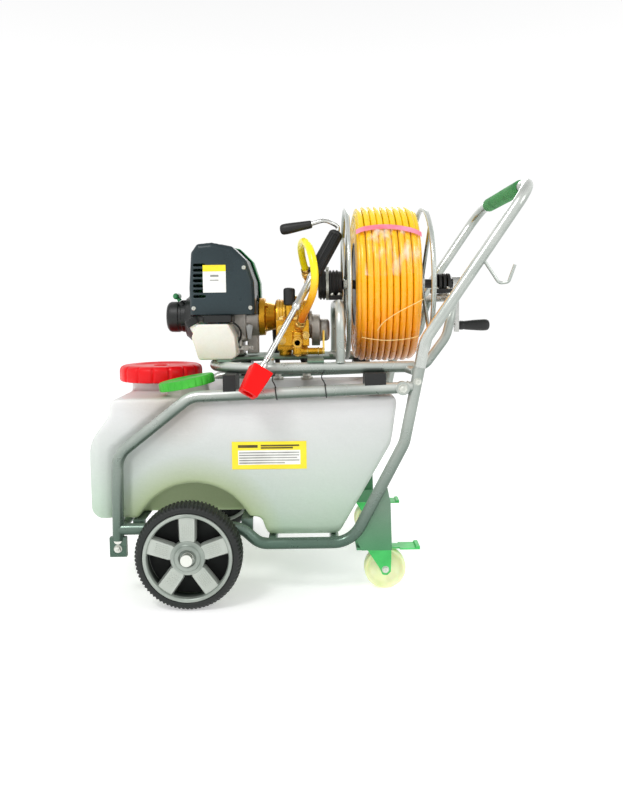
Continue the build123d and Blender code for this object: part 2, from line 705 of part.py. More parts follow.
def gun_body():
    body = rod(on_gun(0), on_gun(104), 14)
    for k in range(9):
        body += rod(on_gun(8 + 10 * k), on_gun(12 + 10 * k), 15)
    connector = rod(on_gun(104), on_gun(190), 8)
    lance = rod(on_gun(190), on_gun(329), LANCE_R)
    return body + connector + lance


def gun_nozzle():
    outlet = Plane(origin=on_gun(329.2), z_dir=GUN_AXIS, x_dir=(0, 1, 0.3))
    wide = outlet * RectangleRounded(46, 40, 4)
    narrow = outlet.offset(52) * RectangleRounded(36, 32, 4)
    shroud = loft([wide, narrow])
    return shroud - rod(on_gun(345), on_gun(400), 11)


def gun_handle():
    a = on_gun(-0.4)
    bent = tube([tuple(a), tuple(on_gun(-24)), (30, -103, 730), (8, -100, 722)], [8, 10], 4.5)
    grip = rod((14, -101, 724), (-50, -92, 714), 11)
    return bent + fillet(grip.edges().filter_by(GeomType.CIRCLE), 4)


def compound(solids):
    return Compound(children=list(solids))


MAKERS = {
    "side_frame_left": lambda: side_frame(-1),
    "side_frame_right": lambda: side_frame(1),
    "cross_tubes": lambda: compound(cross_tubes()),
    "wheel_axle": wheel_axle,
    "axle_brackets": lambda: compound(axle_brackets()),
    "caster_mounts": lambda: compound([caster_mount(-1), caster_mount(1)]),
    "platform_frame": platform_frame,
    "platform_blocks": lambda: compound(platform_blocks()),
    "frame_bolts": lambda: compound(frame_bolts()),
    "wheel_rim_left": lambda: rim(-1),
    "wheel_rim_right": lambda: rim(1),
    "tyre_left": lambda: tyre(-1),
    "tyre_right": lambda: tyre(1),
    "caster_fork_left": lambda: caster_fork(-1),
    "caster_fork_right": lambda: caster_fork(1),
    "caster_wheel_left": lambda: caster_wheel(-1),
    "caster_wheel_right": lambda: caster_wheel(1),
    "brake_pedal_left": lambda: brake_pedal(-1),
    "brake_pedal_right": lambda: brake_pedal(1),
    "handle_tube": handle_tube,
    "handle_grip": handle_grip,
    "tank": tank,
    "tank_lid": tank_lid,
    "side_cap": side_cap,
    "tank_strainer": tank_strainer,
    "labels": lambda: compound(labels()),
    "engine_shroud": engine_shroud,
    "shroud_back": shroud_back,
    "crankcase": crankcase,
    "cylinder": cylinder,
    "fan_housing": fan_housing,
    "recoil_starter": recoil_starter,
    "starter_grip": starter_grip,
    "engine_fuel_tank": engine_fuel_tank,
    "fuel_cap": fuel_cap,
    "air_filter": air_filter,
    "muffler": muffler,
    "clutch_housing": clutch_housing,
    "throttle_lever": throttle_lever,
    "engine_mount": engine_mount,
    "drive_shaft": drive_shaft,
    "pump_flange": pump_flange,
    "pump_crankcase": pump_crankcase,
    "pump_head": pump_head,
    "air_dome": air_dome,
    "regulator_knob": regulator_knob,
    "outlet_nipple": outlet_nipple,
    "valve_lever": valve_lever,
    "link_hose": lambda: hose("link_hose", LINK_ROUTE, LINK_R),
    "tank_hoses": lambda: compound(
        [hose("suction", SUCTION_ROUTE, SUCTION_R), hose("return", RETURN_ROUTE, RETURN_R)]),
    "reel_posts": lambda: compound(reel_posts()),
    "reel_bearings": lambda: compound(reel_bearings()),
    "reel_drum": reel_drum,
    "reel_hoops": lambda: compound(reel_hoops()),
    "wound_hose": wound_hose,
    "crank_arm": crank_arm,
    "crank_grip": crank_grip,
    "gun_body": gun_body,
    "gun_nozzle": gun_nozzle,
    "gun_handle": gun_handle,
}

boxes = []
for name, make in MAKERS.items():
    shape = make()
    export_step(shape, f"parts/{name}.step")
    boxes.append(shape.bounding_box())
low = [min(getattr(b.min, k) for b in boxes) for k in "XYZ"]
high = [max(getattr(b.max, k) for b in boxes) for k in "XYZ"]
print(len(MAKERS), "parts, box", [round(v, 1) for v in low], [round(v, 1) for v in high])
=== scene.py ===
import json
from math import cos, exp, hypot, pi, radians, sin

import bmesh
import bpy
from mathutils import Matrix, Vector, noise


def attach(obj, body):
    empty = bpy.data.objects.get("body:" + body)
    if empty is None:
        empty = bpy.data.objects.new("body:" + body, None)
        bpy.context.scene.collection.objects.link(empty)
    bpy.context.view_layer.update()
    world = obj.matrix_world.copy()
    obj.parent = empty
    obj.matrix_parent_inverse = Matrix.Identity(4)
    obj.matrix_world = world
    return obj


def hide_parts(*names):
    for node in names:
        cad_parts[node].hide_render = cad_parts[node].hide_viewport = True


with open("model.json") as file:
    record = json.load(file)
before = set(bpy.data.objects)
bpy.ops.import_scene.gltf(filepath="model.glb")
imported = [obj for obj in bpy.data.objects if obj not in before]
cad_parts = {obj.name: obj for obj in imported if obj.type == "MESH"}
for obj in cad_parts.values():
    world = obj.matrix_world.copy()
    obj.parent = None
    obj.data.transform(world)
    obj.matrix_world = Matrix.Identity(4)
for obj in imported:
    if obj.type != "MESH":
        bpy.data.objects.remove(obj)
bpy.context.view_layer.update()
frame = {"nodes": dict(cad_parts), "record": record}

# Shapes below are in millimetres in the frame's axes, and become metres when they are placed.
MM = 0.001

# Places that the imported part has, repeated here in millimetres
WHEEL_X, WHEEL_Z, WHEEL_SIDE = -223, 100, 221
CASTER_X, CASTER_Y, CASTER_Z = 150, 163, 41
RAIL_Y, RAIL_START, RAIL_END = 205, Vector((-221, 391)), Vector((200, 404))
LOW_RAIL_Z = 105
LEAN = Vector((29, 0, 143)).normalized()
LID_X, LID_Z = -318, 404
CAP_SEAT, CAP_TILT = Vector((-236, -144, 404)), radians(10)
REEL_Z, COIL_X0, COIL_X1 = 605, 101, 229
REEL_BORE = 10.3
CRANK_GRIP = (331, 0, 514)
SHAFT_Z = 538
DECK_TOP = 454.4
HANDLE_TOP = Vector((427, 0, 788))
GUN_TOP, GUN_END = Vector((64, -100, 706)), Vector((-84, -230, 443))
ROD_ROUTE = [(52, -104, 727), (40, -104, 731), (28, -103, 729), (12, -101, 724)]
TANK_SIDE = 190
SHROUD_FACE, SHROUD_BACK = -86, 86
SHROUD_EDGE = 13  # radius of the rounding round the shroud's front and back faces
SHROUD_OUTLINE = [
    (-239, 530), (-240, 600), (-235, 672), (-222, 690), (-192, 693), (-149, 684), (-121, 656),
    (-106, 612), (-104, 530),
]
OUTLET = (-18, -112, 487)

ALONG_X, ALONG_Y, UP, DOWN = (1, 0, 0), (0, 1, 0), (0, 0, 1), (0, 0, -1)

LINK_ROUTE = [
    (-12, -98, 524), (-6, -118, 540), (6, -146, 563), (16, -174, 588), (19, -188, 620),
    (14, -180, 655), (5, -153, 682), (-4, -119, 690), (-9, -86, 683), (-8, -58, 667), (-4, -35, 647),
    (2, -20, 629),
]
SUCTION_ROUTE = [
    (-30, 62, 500), (-30, 92, 494), (-26, 122, 476), (-14, 138, 448), (-4, 142, 418), (-2, 142, 386.5),
]
RETURN_ROUTE = [
    (-60, 46, 566), (-62, 76, 574), (-70, 108, 560), (-76, 128, 526), (-76, 134, 486),
    (-72, 138, 446), (-70, 142, 412), (-70, 142, 386.5),
]


# ------ camera, light and floor
def make_camera():
    data = bpy.data.cameras.new("camera")
    data.lens = 31.7
    data.shift_x, data.shift_y = 0.0, -0.0566
    camera = bpy.data.objects.new("camera", data)
    bpy.context.scene.collection.objects.link(camera)
    pitch, roll = radians(4.0), radians(-0.75)
    turn = Matrix.Rotation(radians(90) - pitch, 4, "X") @ Matrix.Rotation(roll, 4, "Z")
    camera.matrix_world = Matrix.Translation((0.010, -1.533, 0.561)) @ turn
    bpy.context.scene.camera = camera


def make_light(name, place, target, size, watts, tint=(1, 1, 1)):
    data = bpy.data.lights.new(name, "AREA")
    data.shape, data.size, data.energy, data.color = "DISK", size, watts, tint
    lamp = bpy.data.objects.new(name, data)
    bpy.context.scene.collection.objects.link(lamp)
    lamp.location = place
    lamp.rotation_euler = (Vector(place) - Vector(target)).to_track_quat("Z", "Y").to_euler()


def make_studio():
    middle = (0, 0, 0.4)
    make_light("key", (-1.2, -1.9, 2.7), middle, 0.9, 34)
    make_light("fill", (2.2, -2.0, 1.2), middle, 1.2, 8)
    make_light("back", (0.6, 2.6, 2.2), middle, 1.4, 22)
    world = bpy.data.worlds.new("studio")
    bpy.context.scene.world = world
    world.use_nodes = True
    nodes, links = world.node_tree.nodes, world.node_tree.links
    split = nodes.new("ShaderNodeSeparateXYZ")
    links.new(nodes.new("ShaderNodeTexCoord").outputs["Generated"], split.inputs[0])
    ramp = nodes.new("ShaderNodeMapRange")
    links.new(split.outputs[2], ramp.inputs[0])
    for index, value in enumerate((0.3, 1.0, 1.02, 0.5), start=1):
        ramp.inputs[index].default_value = value
    links.new(ramp.outputs[0], nodes["Background"].inputs["Color"])
    bpy.context.scene.view_settings.view_transform = "Standard"


def make_floor():
    data = bpy.data.meshes.new("floor")
    half = 14.0
    corners = [(-half, -half, 0), (half, -half, 0), (half, half, 0), (-half, half, 0)]
    data.from_pydata(corners, [], [(0, 1, 2, 3)])
    floor = bpy.data.objects.new("floor", data)
    bpy.context.scene.collection.objects.link(floor)
    data.materials.append(FINISH["floor"][0])


# ------ materials
def srgb(*rgb):
    parts = [c / 255 for c in rgb]
    return tuple(c / 12.92 if c < 0.04 else ((c + 0.055) / 1.055) ** 2.4 for c in parts) + (1.0,)


class Shader:
    """One procedural material, in the piece's own coordinates."""

    def __init__(self, name, rough, metal=0.0, **sockets):
        self.material = bpy.data.materials.new(name)
        self.material.use_nodes = True
        self.tree = self.material.node_tree
        self.bsdf = next(n for n in self.tree.nodes if n.type == "BSDF_PRINCIPLED")
        self.rough = rough
        self.bsdf.inputs["Metallic"].default_value = metal
        for label, value in sockets.items():
            self.bsdf.inputs[label.replace("_", " ")].default_value = value
        self.place = self.put("TexCoord").outputs["Object"]

    def feed(self, value, socket):
        if isinstance(value, bpy.types.NodeSocket):
            self.tree.links.new(value, socket)
        else:
            socket.default_value = value

    def put(self, kind, inputs=(), **settings):
        node = self.tree.nodes.new("ShaderNode" + kind)
        for key, value in settings.items():
            setattr(node, key, value)
        for key, value in dict(inputs).items():
            self.feed(value, node.inputs[key])
        return node

    def noise(self, scale, detail=3.0, stretch=None):
        place = self.place
        if stretch:
            place = self.put("VectorMath", {0: place, 1: stretch}, operation="MULTIPLY").outputs[0]
        return self.put("TexNoise", {"Vector": place, "Scale": scale, "Detail": detail}).outputs[0]

    def ramp(self, value, stops):
        node = self.put("ValToRGB", {0: value})
        elements = node.color_ramp.elements
        while len(elements) < len(stops):
            elements.new(0.5)
        for element, (at, colour) in zip(elements, stops):
            element.position = at
            element.color = colour
        return node.outputs[0]

    def mix(self, share, a, b, blend="MIX"):
        node = self.put("Mix", data_type="RGBA", blend_type=blend)
        for index, value in ((0, share), (6, a), (7, b)):
            self.feed(value, node.inputs[index])
        return node.outputs[2]

    def times(self, value, factor):
        return self.put("Math", {0: value, 1: factor}, operation="MULTIPLY").outputs[0]

    def span(self, value, low, high, to=(0.0, 1.0)):
        return self.put("MapRange", {0: value, 1: low, 2: high, 3: to[0], 4: to[1]}).outputs[0]

    def axis(self, index):
        return self.put("SeparateXYZ", {0: self.place}).outputs[index]

    def near(self, centre, inner, outer, squash=(1.0, 1.0, 1.0)):
        """1 inside the inner distance from a place in metres, 0 beyond the outer one."""
        shift = self.put("VectorMath", {0: self.place, 1: centre}, operation="SUBTRACT").outputs[0]
        scaled = self.put("VectorMath", {0: shift, 1: squash}, operation="MULTIPLY").outputs[0]
        length = self.put("VectorMath", {0: scaled}, operation="LENGTH").outputs["Value"]
        return self.span(length, inner, outer, (1.0, 0.0))

    def facing_down(self, high, low, share):
        """0 where the surface looks up, share where it looks down: the mask for painted shade underneath.
        """
        upward = self.put("SeparateXYZ", {0: self.put("TexCoord").outputs["Normal"]}).outputs[2]
        return self.span(upward, high, low, (0.0, share))

    def edges(self, low=0.53, high=0.6):
        return self.span(self.put("NewGeometry").outputs["Pointiness"], low, high)

    def done(self, colour, height=None, depth=0.0, uneven=0.08, patch=22.0):
        spread = self.span(self.noise(patch, 4), 0.3, 0.7, (self.rough - uneven, self.rough + uneven))
        self.feed(spread, self.bsdf.inputs["Roughness"])
        self.feed(colour, self.bsdf.inputs["Base Color"])
        if height is not None:
            bump = self.put("Bump", {"Height": height, "Distance": depth, "Strength": 1.0})
            self.feed(bump.outputs[0], self.bsdf.inputs["Normal"])
        return self.material


def coated(name, tones, rough, metal=0.0, blotch=9.0, grain=700.0, depth=0.0001,
           low=None, wear=None, under=None, **more):
    """Paint, plastic or metal: two tones in soft blotches and a fine grain.

    It can be tinted low down, given painted shade underneath, and rubbed bright along its edges.
    """
    s = Shader(name, rough, metal, **more)
    colour = s.ramp(s.noise(blotch, 5), [(0.32, srgb(*tones[0])), (0.68, srgb(*tones[1]))])
    if low:
        tint, z0, z1 = low
        colour = s.mix(s.span(s.axis(2), z0, z1), srgb(*tint), colour)
    # Painted shade: the colour darkens towards tint where the surface faces down.
    if under:
        tint, share = under
        colour = s.mix(s.facing_down(0.45, -0.5, share), colour, srgb(*tint))
    if wear:
        colour = s.mix(s.edges(), colour, srgb(*wear))
    grit = s.noise(grain, 2)
    colour = s.mix(0.16, colour, grit, "SOFT_LIGHT")
    return s.done(colour, grit, depth)


def tank_material():
    """Milky polyethylene: brighter above and greener low down as painted light and shade, with painted
    shade in the wheel arches and a painted shadow near the small cap.
    """
    s = Shader("tank_plastic", 0.42, Subsurface_Weight=0.35, Subsurface_Scale=0.03, Specular_IOR_Level=0.4)
    s.bsdf.inputs["Subsurface Radius"].default_value = (0.9, 1.0, 0.85)
    # Painted light and shade: lighter towards the top of the tank, greener and darker towards its floor.
    rise = s.span(s.axis(2), 0.11, 0.40)
    colour = s.ramp(rise, [
        (0.0, srgb(158, 188, 158)), (0.3, srgb(190, 210, 192)), (0.62, srgb(212, 220, 213)),
        (0.85, srgb(229, 231, 228)), (1.0, srgb(236, 235, 231)),
    ])
    cloud = s.noise(5.5, 4, (1.0, 1.0, 1.8))
    colour = s.mix(s.span(cloud, 0.35, 0.75, (0.0, 0.35)), colour, srgb(194, 202, 197))
    # Painted shade in the wheel arches.
    arch_shade = s.near((WHEEL_X * MM, 0, WHEEL_Z * MM), 0.125, 0.178, (1.0, 0.0, 1.0))
    colour = s.mix(s.times(arch_shade, 0.62), colour, srgb(172, 190, 122))
    # Painted shadow, brownish, beside the small cap.
    cap_shadow = s.near((-0.262, -0.16, 0.386), 0.03, 0.105)
    colour = s.mix(s.times(cap_shadow, 0.5), colour, srgb(168, 146, 126))
    colour = s.mix(0.1, colour, s.noise(260, 3), "SOFT_LIGHT")
    dimple = s.noise(60, 5, (1.0, 1.0, 2.4))
    return s.done(colour, dimple, 0.0007, 0.07, 12)


def hose_material():
    """Spray hose: browner underneath and bright yellow on top as painted shade and painted light, with a
    fine weave in its wall.
    """
    s = Shader("hose_yellow", 0.3, Coat_Weight=0.35, Coat_Roughness=0.2,
               Subsurface_Weight=0.12, Subsurface_Scale=0.004)
    # Painted light and shade: the hose darkens to brown towards the bottom of the winding and brightens to
    # yellow at its top.
    rise = s.span(s.axis(2), 0.44, 0.77)
    colour = s.ramp(rise, [
        (0.0, srgb(170, 104, 8)), (0.14, srgb(206, 128, 8)), (0.22, srgb(250, 160, 2)),
        (0.55, srgb(255, 186, 0)), (0.8, srgb(255, 204, 0)), (0.93, srgb(255, 224, 0)),
    ])
    colour = s.mix(s.span(s.noise(40, 4), 0.4, 0.7, (0.0, 0.2)), colour, srgb(244, 158, 4))
    weave = s.noise(900, 2)
    return s.done(s.mix(0.12, colour, weave, "SOFT_LIGHT"), weave, 0.00008, 0.06, 60)


def link_material():
    """Link hose: orange where it is low and lemon yellow where it is high, as painted shade and painted
    light.
    """
    s = Shader("hose_bright", 0.3, Coat_Weight=0.3, Coat_Roughness=0.2)
    # Painted shade low down and painted light high up on the hose.
    rise = s.span(s.axis(2), 0.525, 0.66)
    colour = s.ramp(rise, [(0.0, srgb(216, 96, 10)), (0.45, srgb(252, 188, 4)), (0.8, srgb(255, 238, 0))])
    weave = s.noise(800, 2)
    return s.done(s.mix(0.15, colour, weave, "SOFT_LIGHT"), weave, 0.0001, 0.06, 60)


def film_material():
    """Clear wrapping film: crinkled, glossy and almost invisible between its creases."""
    s = Shader("wrap_film", 0.18, Specular_IOR_Level=0.7)
    crease = s.noise(46, 5, (1.0, 1.0, 0.22))
    veil = s.span(crease, 0.5, 0.68, (0.02, 0.55))
    s.feed(veil, s.bsdf.inputs["Alpha"])
    s.material.blend_method = "BLEND"
    colour = s.ramp(crease, [(0.3, srgb(255, 238, 205)), (0.7, srgb(255, 250, 236))])
    return s.done(colour, crease, 0.003, 0.05, 30)


def tyre_material():
    """Black rubber with grey dust on it."""
    s = Shader("tyre_rubber", 0.5)
    dust = s.span(s.noise(30, 6), 0.45, 0.8, (0.0, 0.3))
    colour = s.ramp(s.noise(14, 4), [(0.3, srgb(7, 12, 10)), (0.7, srgb(16, 22, 19))])
    colour = s.mix(dust, colour, srgb(36, 46, 40))
    grit = s.noise(500, 3)
    return s.done(colour, grit, 0.00025, 0.12, 30)


def rim_material():
    """Silvery cast wheel, with painted shade where it is deep inside."""
    s = Shader("rim_metal", 0.36, 0.55)
    colour = s.ramp(s.noise(16, 5), [(0.3, srgb(126, 136, 128)), (0.7, srgb(168, 176, 168))])
    # Painted shade: the rim goes nearly black towards its inner side.
    depth = s.span(s.put("Math", {0: s.axis(1)}, operation="ABSOLUTE").outputs[0], 0.240, 0.262)
    colour = s.mix(depth, srgb(30, 44, 36), colour)
    colour = s.mix(s.edges(0.53, 0.64), colour, srgb(188, 194, 186))
    grit = s.noise(900, 2)
    return s.done(s.mix(0.14, colour, grit, "SOFT_LIGHT"), grit, 0.00012, 0.08, 30)


def foam_material():
    """Closed-cell foam: two greens in patches, with fine pores."""
    s = Shader("grip_foam", 0.82)
    pores = s.put("TexVoronoi", {"Vector": s.place, "Scale": 900.0}).outputs["Distance"]
    colour = s.ramp(s.noise(26, 4), [(0.3, srgb(36, 112, 56)), (0.7, srgb(70, 150, 84))])
    colour = s.mix(0.12, colour, s.span(pores, 0.0, 0.7, (0.35, 0.6)), "SOFT_LIGHT")
    return s.done(colour, pores, 0.00012, 0.08, 40)


def floor_material():
    s = Shader("floor", 0.6)
    colour = s.ramp(s.noise(3, 4), [(0.3, (0.86, 0.86, 0.86, 1)), (0.7, (0.89, 0.89, 0.89, 1))])
    s.feed(colour, s.bsdf.inputs["Emission Color"])
    s.bsdf.inputs["Emission Strength"].default_value = 0.42
    return s.done(colour, s.noise(90, 3), 0.0003, 0.05, 6)


def make_finishes():
    """Name to (material, the record's slot)."""
    made = {}

    def coat(name, *settings, slot=None, **more):
        made[name] = (coated(name, *settings, **more), slot or name)

    # The frame paint's darker tint low down and its darker underside are painted shade.
    coat("frame_paint", ((188, 194, 188), (216, 220, 214)), 0.3, 0.55, 12, 420, 0.00005,
         low=((82, 108, 94), 0.1, 0.4), under=((62, 84, 72), 0.85))
    # The gusset paint's darker underside is painted shade.
    coat("gusset_paint", ((104, 132, 112), (126, 152, 132)), 0.46, 0.25,
         low=((62, 150, 92), 0.07, 0.17), under=((60, 92, 70), 0.6))
    # The handle chrome's darker underside is painted shade.
    coat("handle_chrome", ((206, 212, 206), (228, 231, 226)), 0.2, 0.75, 20, 300, 0.00003,
         under=((104, 116, 108), 0.7))
    coat("zinc", ((160, 166, 156), (198, 200, 190)), 0.34, 0.85, 40, wear=(226, 228, 220))
    coat("caster_paint", ((44, 172, 78), (74, 210, 108)), 0.4, 0.1, 24, wear=(150, 232, 164))
    coat("caster_nylon", ((220, 230, 162), (244, 247, 208)), 0.45, 0, 20,
         Subsurface_Weight=0.2, Subsurface_Scale=0.01)
    coat("lid_plastic", ((222, 2, 12), (240, 8, 22)), 0.36, 0, 8, 400, 0.0001,
         Specular_IOR_Level=0.3, Subsurface_Weight=0.05, Subsurface_Scale=0.005)
    coat("cap_plastic", ((52, 164, 46), (84, 206, 70)), 0.42, 0, 14, 400, 0.0001, Specular_IOR_Level=0.3)
    coat("label_film", ((236, 214, 30), (248, 228, 44)), 0.35, 0, 12, 300, 0.00005)
    coat("shroud_plastic", ((36, 48, 52), (46, 60, 64)), 0.3, 0, 7, 520, 0.00006, Specular_IOR_Level=0.3)
    coat("black_plastic", ((7, 10, 10), (18, 22, 21)), 0.4, 0, 18, 600, 0.00022)
    coat("fuel_plastic", ((226, 220, 208), (242, 239, 231)), 0.4, 0, 10, 300, 0.0001,
         low=((208, 204, 184), 0.45, 0.49), Subsurface_Weight=0.3, Subsurface_Scale=0.01)
    coat("cast_alloy", ((150, 147, 140), (194, 190, 183)), 0.45, 0.6, 26, 320, 0.0004, wear=(222, 220, 214))
    coat("steel", ((142, 144, 142), (184, 184, 180)), 0.36, 0.85, 30)
    coat("brass", ((188, 128, 20), (228, 172, 48)), 0.27, 0.85, 24, 380, 0.0003, wear=(255, 222, 122))
    coat("black_rubber", ((6, 7, 7), (17, 19, 18)), 0.46, 0, 30, 500, 0.0003)
    coat("crank_steel", ((186, 188, 184), (216, 216, 212)), 0.2, 0.92, 30)
    coat("nozzle_red", ((222, 0, 0), (244, 0, 0)), 0.45, 0, 12, 400, 0.0001, Specular_IOR_Level=0.2)
    coat("shell_green", ((30, 110, 62), (50, 142, 84)), 0.3, 0, 30, slot="shroud_plastic")
    coat("fitting_brass", ((204, 160, 72), (240, 208, 126)), 0.24, 0.85, 30, slot="brass")
    coat("label_white", ((232, 232, 226), (246, 246, 242)), 0.4, 0, 30, slot="label_film")
    coat("label_print", ((120, 122, 118), (168, 170, 166)), 0.5, 0, 30, slot="label_film")
    coat("label_dark", ((58, 48, 14), (96, 84, 20)), 0.5, 0, 30, slot="label_film")
    coat("tape_pink", ((240, 116, 130), (250, 160, 190)), 0.35, 0, 30, slot="label_film")
    coat("string_cream", ((246, 206, 120), (255, 226, 160)), 0.6, 0, 30, slot="label_film")
    coat("rope_black", ((18, 20, 19), (44, 48, 46)), 0.7, 0, 30, slot="black_rubber")
    # A near-black finish for pieces that stand in for shade (painted shade).
    coat("shade_black", ((6, 9, 8), (14, 20, 17)), 0.8, 0, 30, slot="black_plastic")
    for name, make, slot in (
        ("grip_foam", foam_material, "grip_foam"), ("rim_metal", rim_material, "rim_metal"),
        ("tyre_rubber", tyre_material, "tyre_rubber"), ("tank_plastic", tank_material, "tank_plastic"),
        ("hose_yellow", hose_material, "hose_yellow"), ("hose_bright", link_material, "hose_yellow"),
        ("wrap_film", film_material, "label_film"), ("floor", floor_material, None),
    ):
        made[name] = (make(), slot)
    return made


# ------ mesh tools
def place(name, data, finish, body, replaces=(), bevel=0.0, sharp=35):
    obj = bpy.data.objects.new(name, data)
    bpy.context.scene.collection.objects.link(obj)
    material, slot = FINISH[finish]
    data.materials.append(material)
    if obj.type == "MESH":
        data.shade_smooth()
        data.set_sharp_from_angle(angle=radians(sharp))
    if bevel:
        edge = obj.modifiers.new("edge", "BEVEL")
        edge.width, edge.segments, edge.limit_method = bevel * MM, 2, "ANGLE"
        edge.harden_normals = True
    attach(obj, body)
    if replaces:
        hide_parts(*replaces)
    return obj


def basis_of(axis, up=None):
    z = Vector(axis).normalized()
    x = (Vector(up) - z * z.dot(Vector(up))).normalized() if up else z.orthogonal().normalized()
    return Matrix((x, z.cross(x), z)).transposed()


class Piece:
    """Shapes gathered into one mesh, in millimetres."""

    def __init__(self):
        self.bm = bmesh.new()

    def turn(self, profile, centre, axis, segments=48, shape=None, loop=False, up=None):
        """Revolves (radius, height) points round an axis through centre."""
        basis, centre = basis_of(axis, up), Vector(centre)
        rings = []
        for k in range(segments):
            angle = 2 * pi * k / segments
            ring = []
            for r, h in profile:
                reach = shape(r, h, angle) if shape else r
                spot = basis @ Vector((reach * cos(angle), reach * sin(angle), h))
                ring.append(self.bm.verts.new(centre + spot))
            rings.append(ring)
        count = len(profile)
        for a, b in zip(rings, rings[1:] + rings[:1]):
            for i in range(count if loop else count - 1):
                j = (i + 1) % count
                self.bm.faces.new((a[i], a[j], b[j], b[i]))
        return self

    def rod(self, a, b, r, segments=24, chamfer=0.6):
        length = (Vector(b) - Vector(a)).length
        start = [(0, 0), (r - chamfer, 0), (r, chamfer)]
        end = [(radius, length - height) for radius, height in reversed(start)]
        return self.turn(start + end, a, Vector(b) - Vector(a), segments)

    def nut(self, centre, axis, r, height=None):
        """A washer, a hexagon and the end of its stud, standing on centre."""
        h = height or r
        washer = [(0, 0), (r * 1.25, 0), (r * 1.3, 0.3), (r * 1.3, 1.0), (r * 1.2, 1.3), (0, 1.3)]
        hexagon = [(0, 1), (r, 1), (r * 1.04, 1.6), (r * 1.04, h), (r * 0.9, h + 0.8), (0, h + 0.8)]
        stud = [(0, h), (r * 0.5, h), (r * 0.5, h + 1.8), (r * 0.4, h + 2.3), (0, h + 2.3)]
        for profile, segments in ((washer, 28), (hexagon, 6), (stud, 16)):
            self.turn(profile, centre, axis, segments)
        return self

    def prism(self, outline, push):
        """Extrudes a polygon of 3-D corners by a vector."""
        low = [self.bm.verts.new(Vector(p)) for p in outline]
        high = [self.bm.verts.new(Vector(p) + Vector(push)) for p in outline]
        self.bm.faces.new(low)
        self.bm.faces.new(list(reversed(high)))
        for i in range(len(low)):
            j = (i + 1) % len(low)
            self.bm.faces.new((low[j], low[i], high[i], high[j]))
        return self

    def block(self, x0, x1, y0, y1, z0, z1):
        return self.prism([(x0, y0, z0), (x1, y0, z0), (x1, y0, z1), (x0, y0, z1)], (0, y1 - y0, 0))

    def sheet(self, rows, thickness):
        """A thin closed sheet through a grid of points, thickened along its own normals."""
        grid = [[self.bm.verts.new(Vector(p)) for p in row] for row in rows]
        faces = []
        for upper, lower in zip(grid, grid[1:]):
            for i in range(len(upper) - 1):
                faces.append(self.bm.faces.new((upper[i], upper[i + 1], lower[i + 1], lower[i])))
        bmesh.ops.solidify(self.bm, geom=faces, thickness=thickness)
        return self

    def done(self, name, finish, body, replaces=(), bevel=0.0, sharp=35):
        bmesh.ops.remove_doubles(self.bm, verts=self.bm.verts, dist=0.001)
        bmesh.ops.recalc_face_normals(self.bm, faces=self.bm.faces)
        bmesh.ops.scale(self.bm, vec=(MM, MM, MM), verts=self.bm.verts)
        data = bpy.data.meshes.new(name)
        self.bm.to_mesh(data)
        self.bm.free()
        return place(name, data, finish, body, replaces, bevel, sharp)


def wire(name, points, r, finish, body, replaces=(), cyclic=False, sides=4, fine=6):
    """A smooth tube along a route's control points."""
    data = bpy.data.curves.new(name, "CURVE")
    data.dimensions = "3D"
    data.bevel_depth, data.bevel_resolution, data.use_fill_caps = r * MM, sides, True
    spline = data.splines.new("NURBS")
    spline.points.add(len(points) - 1)
    for point, p in zip(spline.points, points):
        point.co = (p[0] * MM, p[1] * MM, p[2] * MM, 1)
    spline.use_cyclic_u = cyclic
    spline.order_u = 3
    spline.use_endpoint_u = not cyclic
    spline.resolution_u = fine
    return place(name, data, finish, body, replaces)


def body_of(node):
    bodies = frame["record"]["behaviour"]["bodies"]
    return next(body for body, nodes in bodies.items() if node in nodes)


def soft(node, voxel, relax, shape=None, finish=None):
    """A copy of a CAD node whose edges are rounded as a casting's or a moulding's are."""
    copy = bpy.data.objects.new(node + "_cut", frame["nodes"][node].data.copy())
    bpy.context.scene.collection.objects.link(copy)
    remesh = copy.modifiers.new("remesh", "REMESH")
    remesh.mode, remesh.voxel_size = "VOXEL", voxel * MM
    smooth = copy.modifiers.new("relax", "SMOOTH")
    smooth.iterations, smooth.factor = relax, 0.5
    ready = copy.evaluated_get(bpy.context.evaluated_depsgraph_get())
    data = bpy.data.meshes.new_from_object(ready)
    bpy.data.objects.remove(copy)
    data.materials.clear()
    if shape:
        for vertex in data.vertices:
            vertex.co = shape(vertex.co / MM) * MM
    return place(node + "_skin", data, finish or SLOT_OF[node], body_of(node), [node], sharp=60)


# ------ tank, lid and caps
GROOVE_PATHS = [
    [(-366, 116), (-363, 280), RAIL_START, RAIL_END],
    [(185, 298), (83, LOW_RAIL_Z), (-94, LOW_RAIL_Z)],
]
# The lid's grip: how many lobes it has, the radius they start at and the height they end at
LOBES, LOBE_FROM, LOBE_TO = 16, 80, 33.6


def path_distance(x, z):
    """The distance from a place on the side wall to the nearest tube that crosses it."""
    best = 1000.0
    for path in GROOVE_PATHS:
        for (ax, az), (bx, bz) in zip(path, path[1:]):
            dx, dz = bx - ax, bz - az
            t = max(0.0, min(1.0, ((x - ax) * dx + (z - az) * dz) / (dx * dx + dz * dz)))
            best = min(best, hypot(x - ax - t * dx, z - az - t * dz))
    return best


def smooth_step(t):
    t = max(0.0, min(1.0, t))
    return t * t * (3 - 2 * t)


def tank_swell(x, z):
    """How far the side wall is off its flat plane: crowned in the middle, channelled under the tubes."""
    crown = 2.6 * smooth_step(1 - hypot((x + 60) / 210, (z - 270) / 130))
    channel = 6.5 * smooth_step(1.25 - path_distance(x, z) / 22)
    return crown - channel


